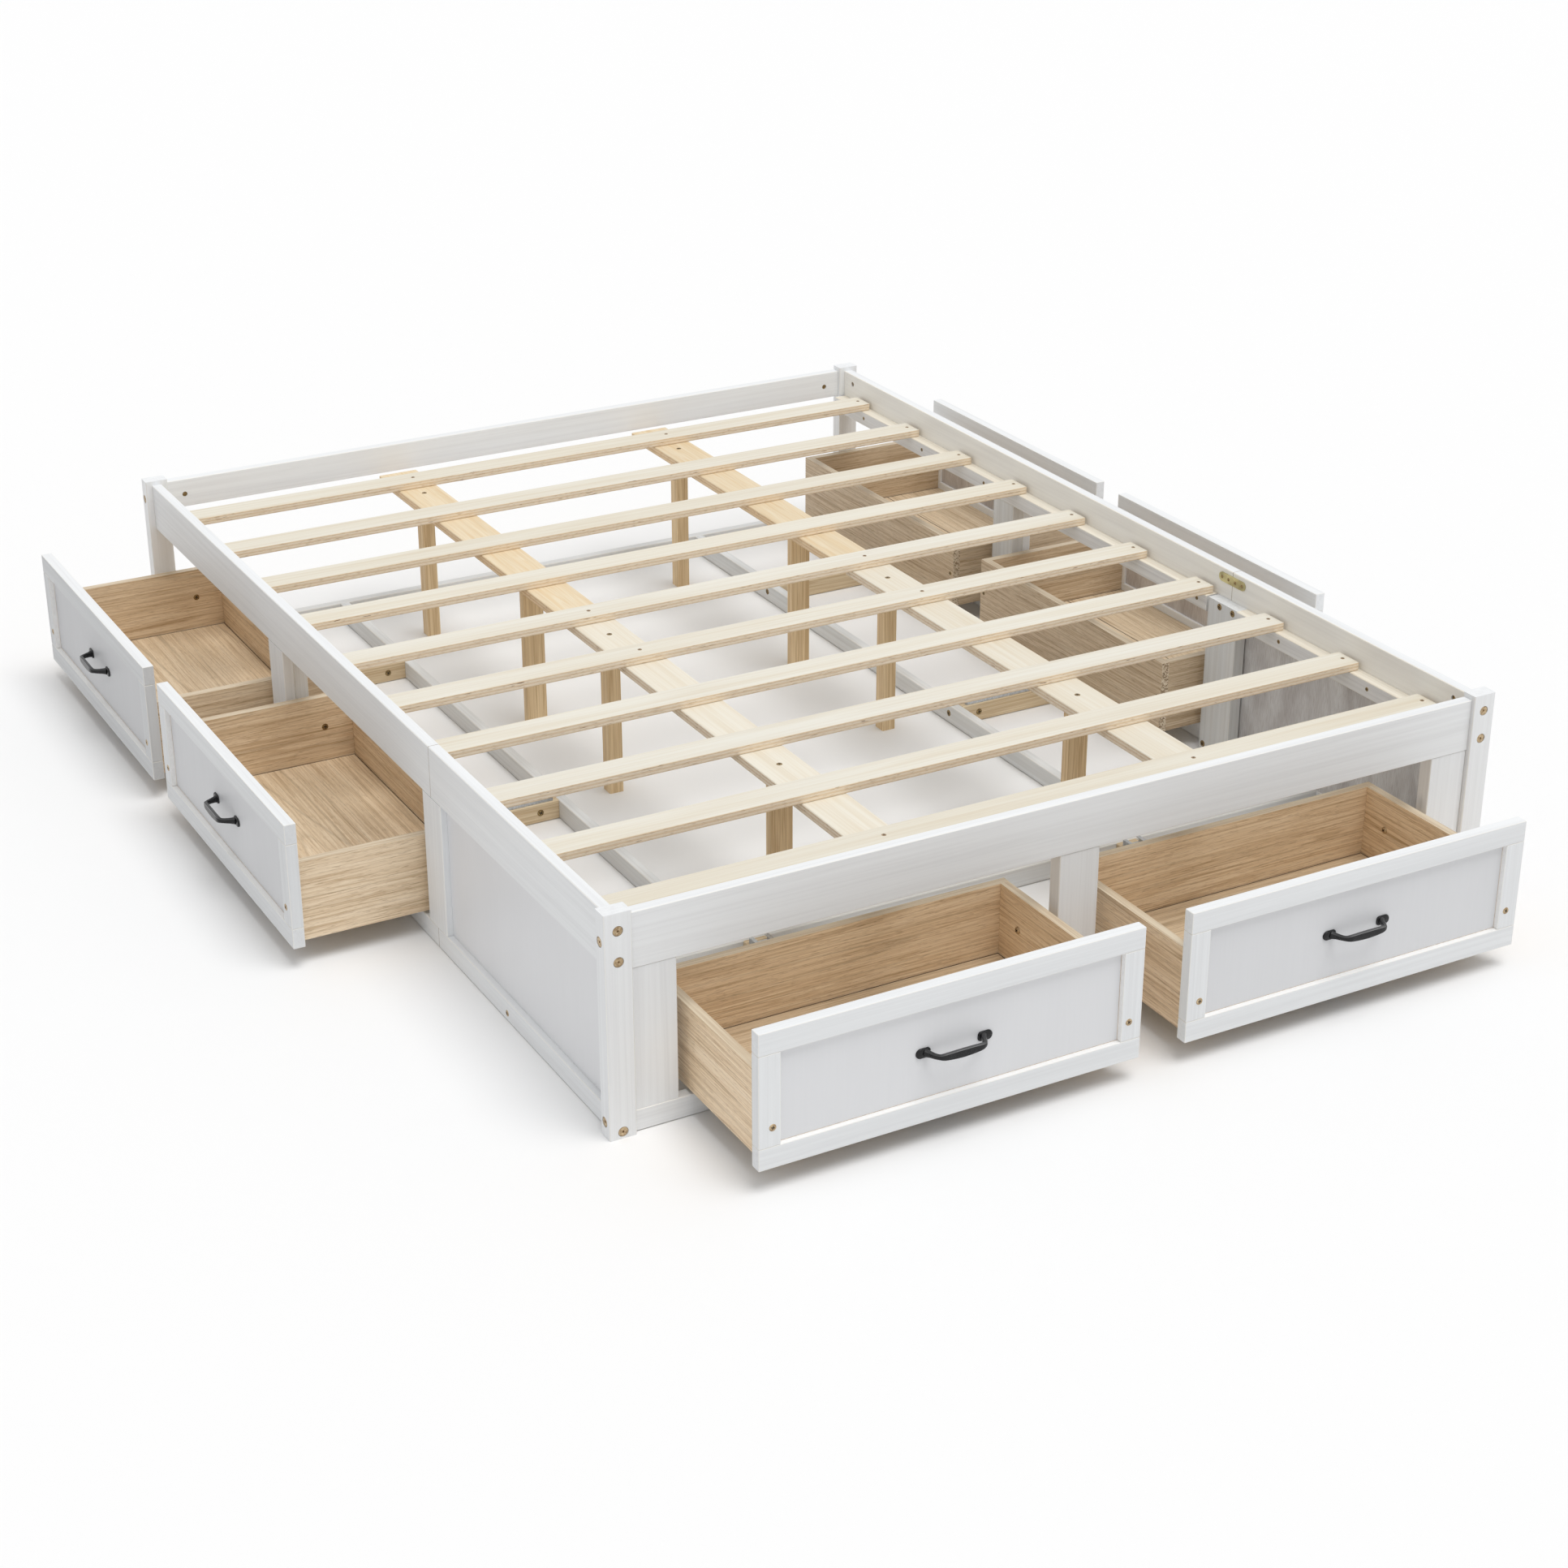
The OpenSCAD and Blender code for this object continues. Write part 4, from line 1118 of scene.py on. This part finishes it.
ledge_spots, bolt_spots = [], []
for s in (-1, 1):
    inward = (-s, 0, 0)
    y = ledge_low.y + LEDGE_FIRST
    while y < ledge_high.y:
        if not -NEAR_UPRIGHT < y - upright_low.y < UPRIGHT_W + NEAR_UPRIGHT:
            ledge_spots.append(((s * (ledge_high.x - LEDGE_W), y, ledge_low.z + LEDGE_UP),
                                inward))
        y += LEDGE_PITCH
    for along, z in UPRIGHT_BOLTS:
        bolt_spots.append(((s * (upright_high.x - UPRIGHT_T), upright_low.y + along, z),
                           inward))
    for y in drawer_rows:
        bolt_spots.append(((s * (rail_x - FLOOR_RAIL_T), y, RAIL_BOLT_Z), inward))
        bolt_spots.append(((s * (bars_x - BAR_BOLT_IN), y - BAR_HALF, BAR_BOLT_Z),
                           (0, -1, 0)))
base_spots = [((s * base_x, base_y + BASE_SCREW_IN, BASE_SCREW_Z), (s, 0, 0))
              for s in (-1, 1)]
set_heads("ledge_screws", ledge_spots, "frame", DARK_BRASS, 0.0038, 0.0008)
set_heads("inner_bolts", bolt_spots, "frame", DARK_BRASS, 0.0062, 0.0012)
set_heads("base_rail_screws", base_spots, "frame", BRASS, 0.0052, 0.0008)
print("ledge screws", len(ledge_spots), "bolts", len(bolt_spots))

# %% [markdown]
# ## Small things on the drawers
#
# Each front has a brass screw low in both uprights. Inside, a cam fitting sits in each
# side wall near the back. The back wall covers the ends of the side walls and its own
# ends are raw chipboard, so a thin skin with a speckled finish goes over them, and a
# screw close to each end shows on its rear face. Thin dark strips, painted shade, run
# where the bottom slips into the walls' grooves; on the right one more crosses it, where
# two sheets meet.

# %% Chipboard and joint finishes
def chipboard():
    m, nt = empty_material("raw_chipboard")
    chips = node(nt, "TexVoronoi", Vector=bed_position(nt), Scale=420.0)
    chance = node(nt, "SeparateColor", Color=chips.outputs["Color"]).outputs[0]
    colour = ramp(nt, chance, [(0.0, (0.22, 0.15, 0.09)), (0.25, (0.42, 0.31, 0.20)),
                               (0.5, (0.62, 0.50, 0.36)), (1.0, (0.76, 0.66, 0.51))])
    return finish_surface(m, colour, chance, (0.65, 0.85), 0.35)


CHIPBOARD = chipboard()
# Painted shade: near-black strips for the shade in the bottom's groove gaps and seam.
JOINT_SHADE = raw_line("bottom_joint_shade", "x", [(0.35, (0.075, 0.05, 0.032)),
                                       (0.65, (0.16, 0.11, 0.07))], (0.7, 0.85), 3.0)
print("small finishes", CHIPBOARD.name, JOINT_SHADE.name)

# %% Sizes and helpers for the drawers
BOX_INSET = 0.013           # from the front's end to the outside of the box
BOX_BACK = 0.355            # from the front's face to the back of the box
BOTTOM_SEAM = 0.153         # from the front's face to the seam across the bottom
CHIP_SKIN = 0.0004
FRONT_SCREW_IN, FRONT_SCREW_UP = 0.022, 0.066
CAM_BACK, CAM_UP = 0.288, 0.011
BACK_SCREW_IN = 0.011


def add_bottom_joint_shades(bm, half, top, front_t, seamed):
    """Thin dark strips, painted shade, just above the bottom: along three walls, and
    across at a seam.
    """
    line, thick = 0.0016, 0.0003
    back = BOX_BACK - WALL
    for x in (-half, half - line):
        add_board(bm, (x, front_t, top), (x + line, back, top + thick), 0, 0)
    for y in (BOTTOM_SEAM, back - line) if seamed else (back - line,):
        add_board(bm, (-half + line, y, top), (half - line, y + line, top + thick), 0, 0)


def add_raw_ends(bm, half, bottom, top):
    for x in (-half - CHIP_SKIN, half):
        add_board(bm, (x, BOX_BACK - WALL, bottom), (x + CHIP_SKIN, BOX_BACK, top), 0, 0)


def both_sides(place, x, y, z, way):
    """Spots at x and -x in drawer coordinates; way is the direction at x."""
    turn = place.to_3x3()
    return [(place @ Vector((s * x, y, z)), turn @ Vector((s * way[0], way[1], 0)))
            for s in (-1, 1)]


# %% Screws, cams, raw ends and joints of each drawer
for d in DRAWERS:
    place = drawer_place(d)
    low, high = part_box(d + "_front")
    front_t, front_w = sorted((high.x - low.x, high.y - low.y))
    outer = front_w / 2 - BOX_INSET
    inner = outer - WALL
    box_low, box_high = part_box(d + "_box")
    middle_z = (box_low.z + box_high.z) / 2
    cam_metal, cam_proud = (BRASS, 0.0028) if d.startswith("foot") else (DARK_BRASS, 0.0009)
    for what, x, y, z, way, metal_used, radius, proud in (
            ("front_screws", front_w / 2 - FRONT_SCREW_IN, 0, low.z + FRONT_SCREW_UP,
             (0, -1), BRASS, 0.0057, 0.0009),
            ("cam_locks", inner, CAM_BACK, middle_z + CAM_UP, (-1, 0), cam_metal, 0.0060,
             cam_proud),
            ("back_screws", outer - BACK_SCREW_IN, BOX_BACK, middle_z, (0, 1), DARK_BRASS,
             0.0042, 0.0008)):
        set_heads(d + "_" + what, both_sides(place, x, y, z, way), d + "_drawer",
                  metal_used, radius, proud)
    bm = bmesh.new()
    add_raw_ends(bm, outer, box_low.z, box_high.z)
    drawer_piece(bm, d, "raw_ends", (CHIPBOARD,))
    bm = bmesh.new()
    add_bottom_joint_shades(bm, inner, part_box(d + "_bottom")[1].z, front_t, d.startswith("right"))
    drawer_piece(bm, d, "bottom_joints", (JOINT_SHADE,))

# %% Update the scene
bpy.context.view_layer.update()
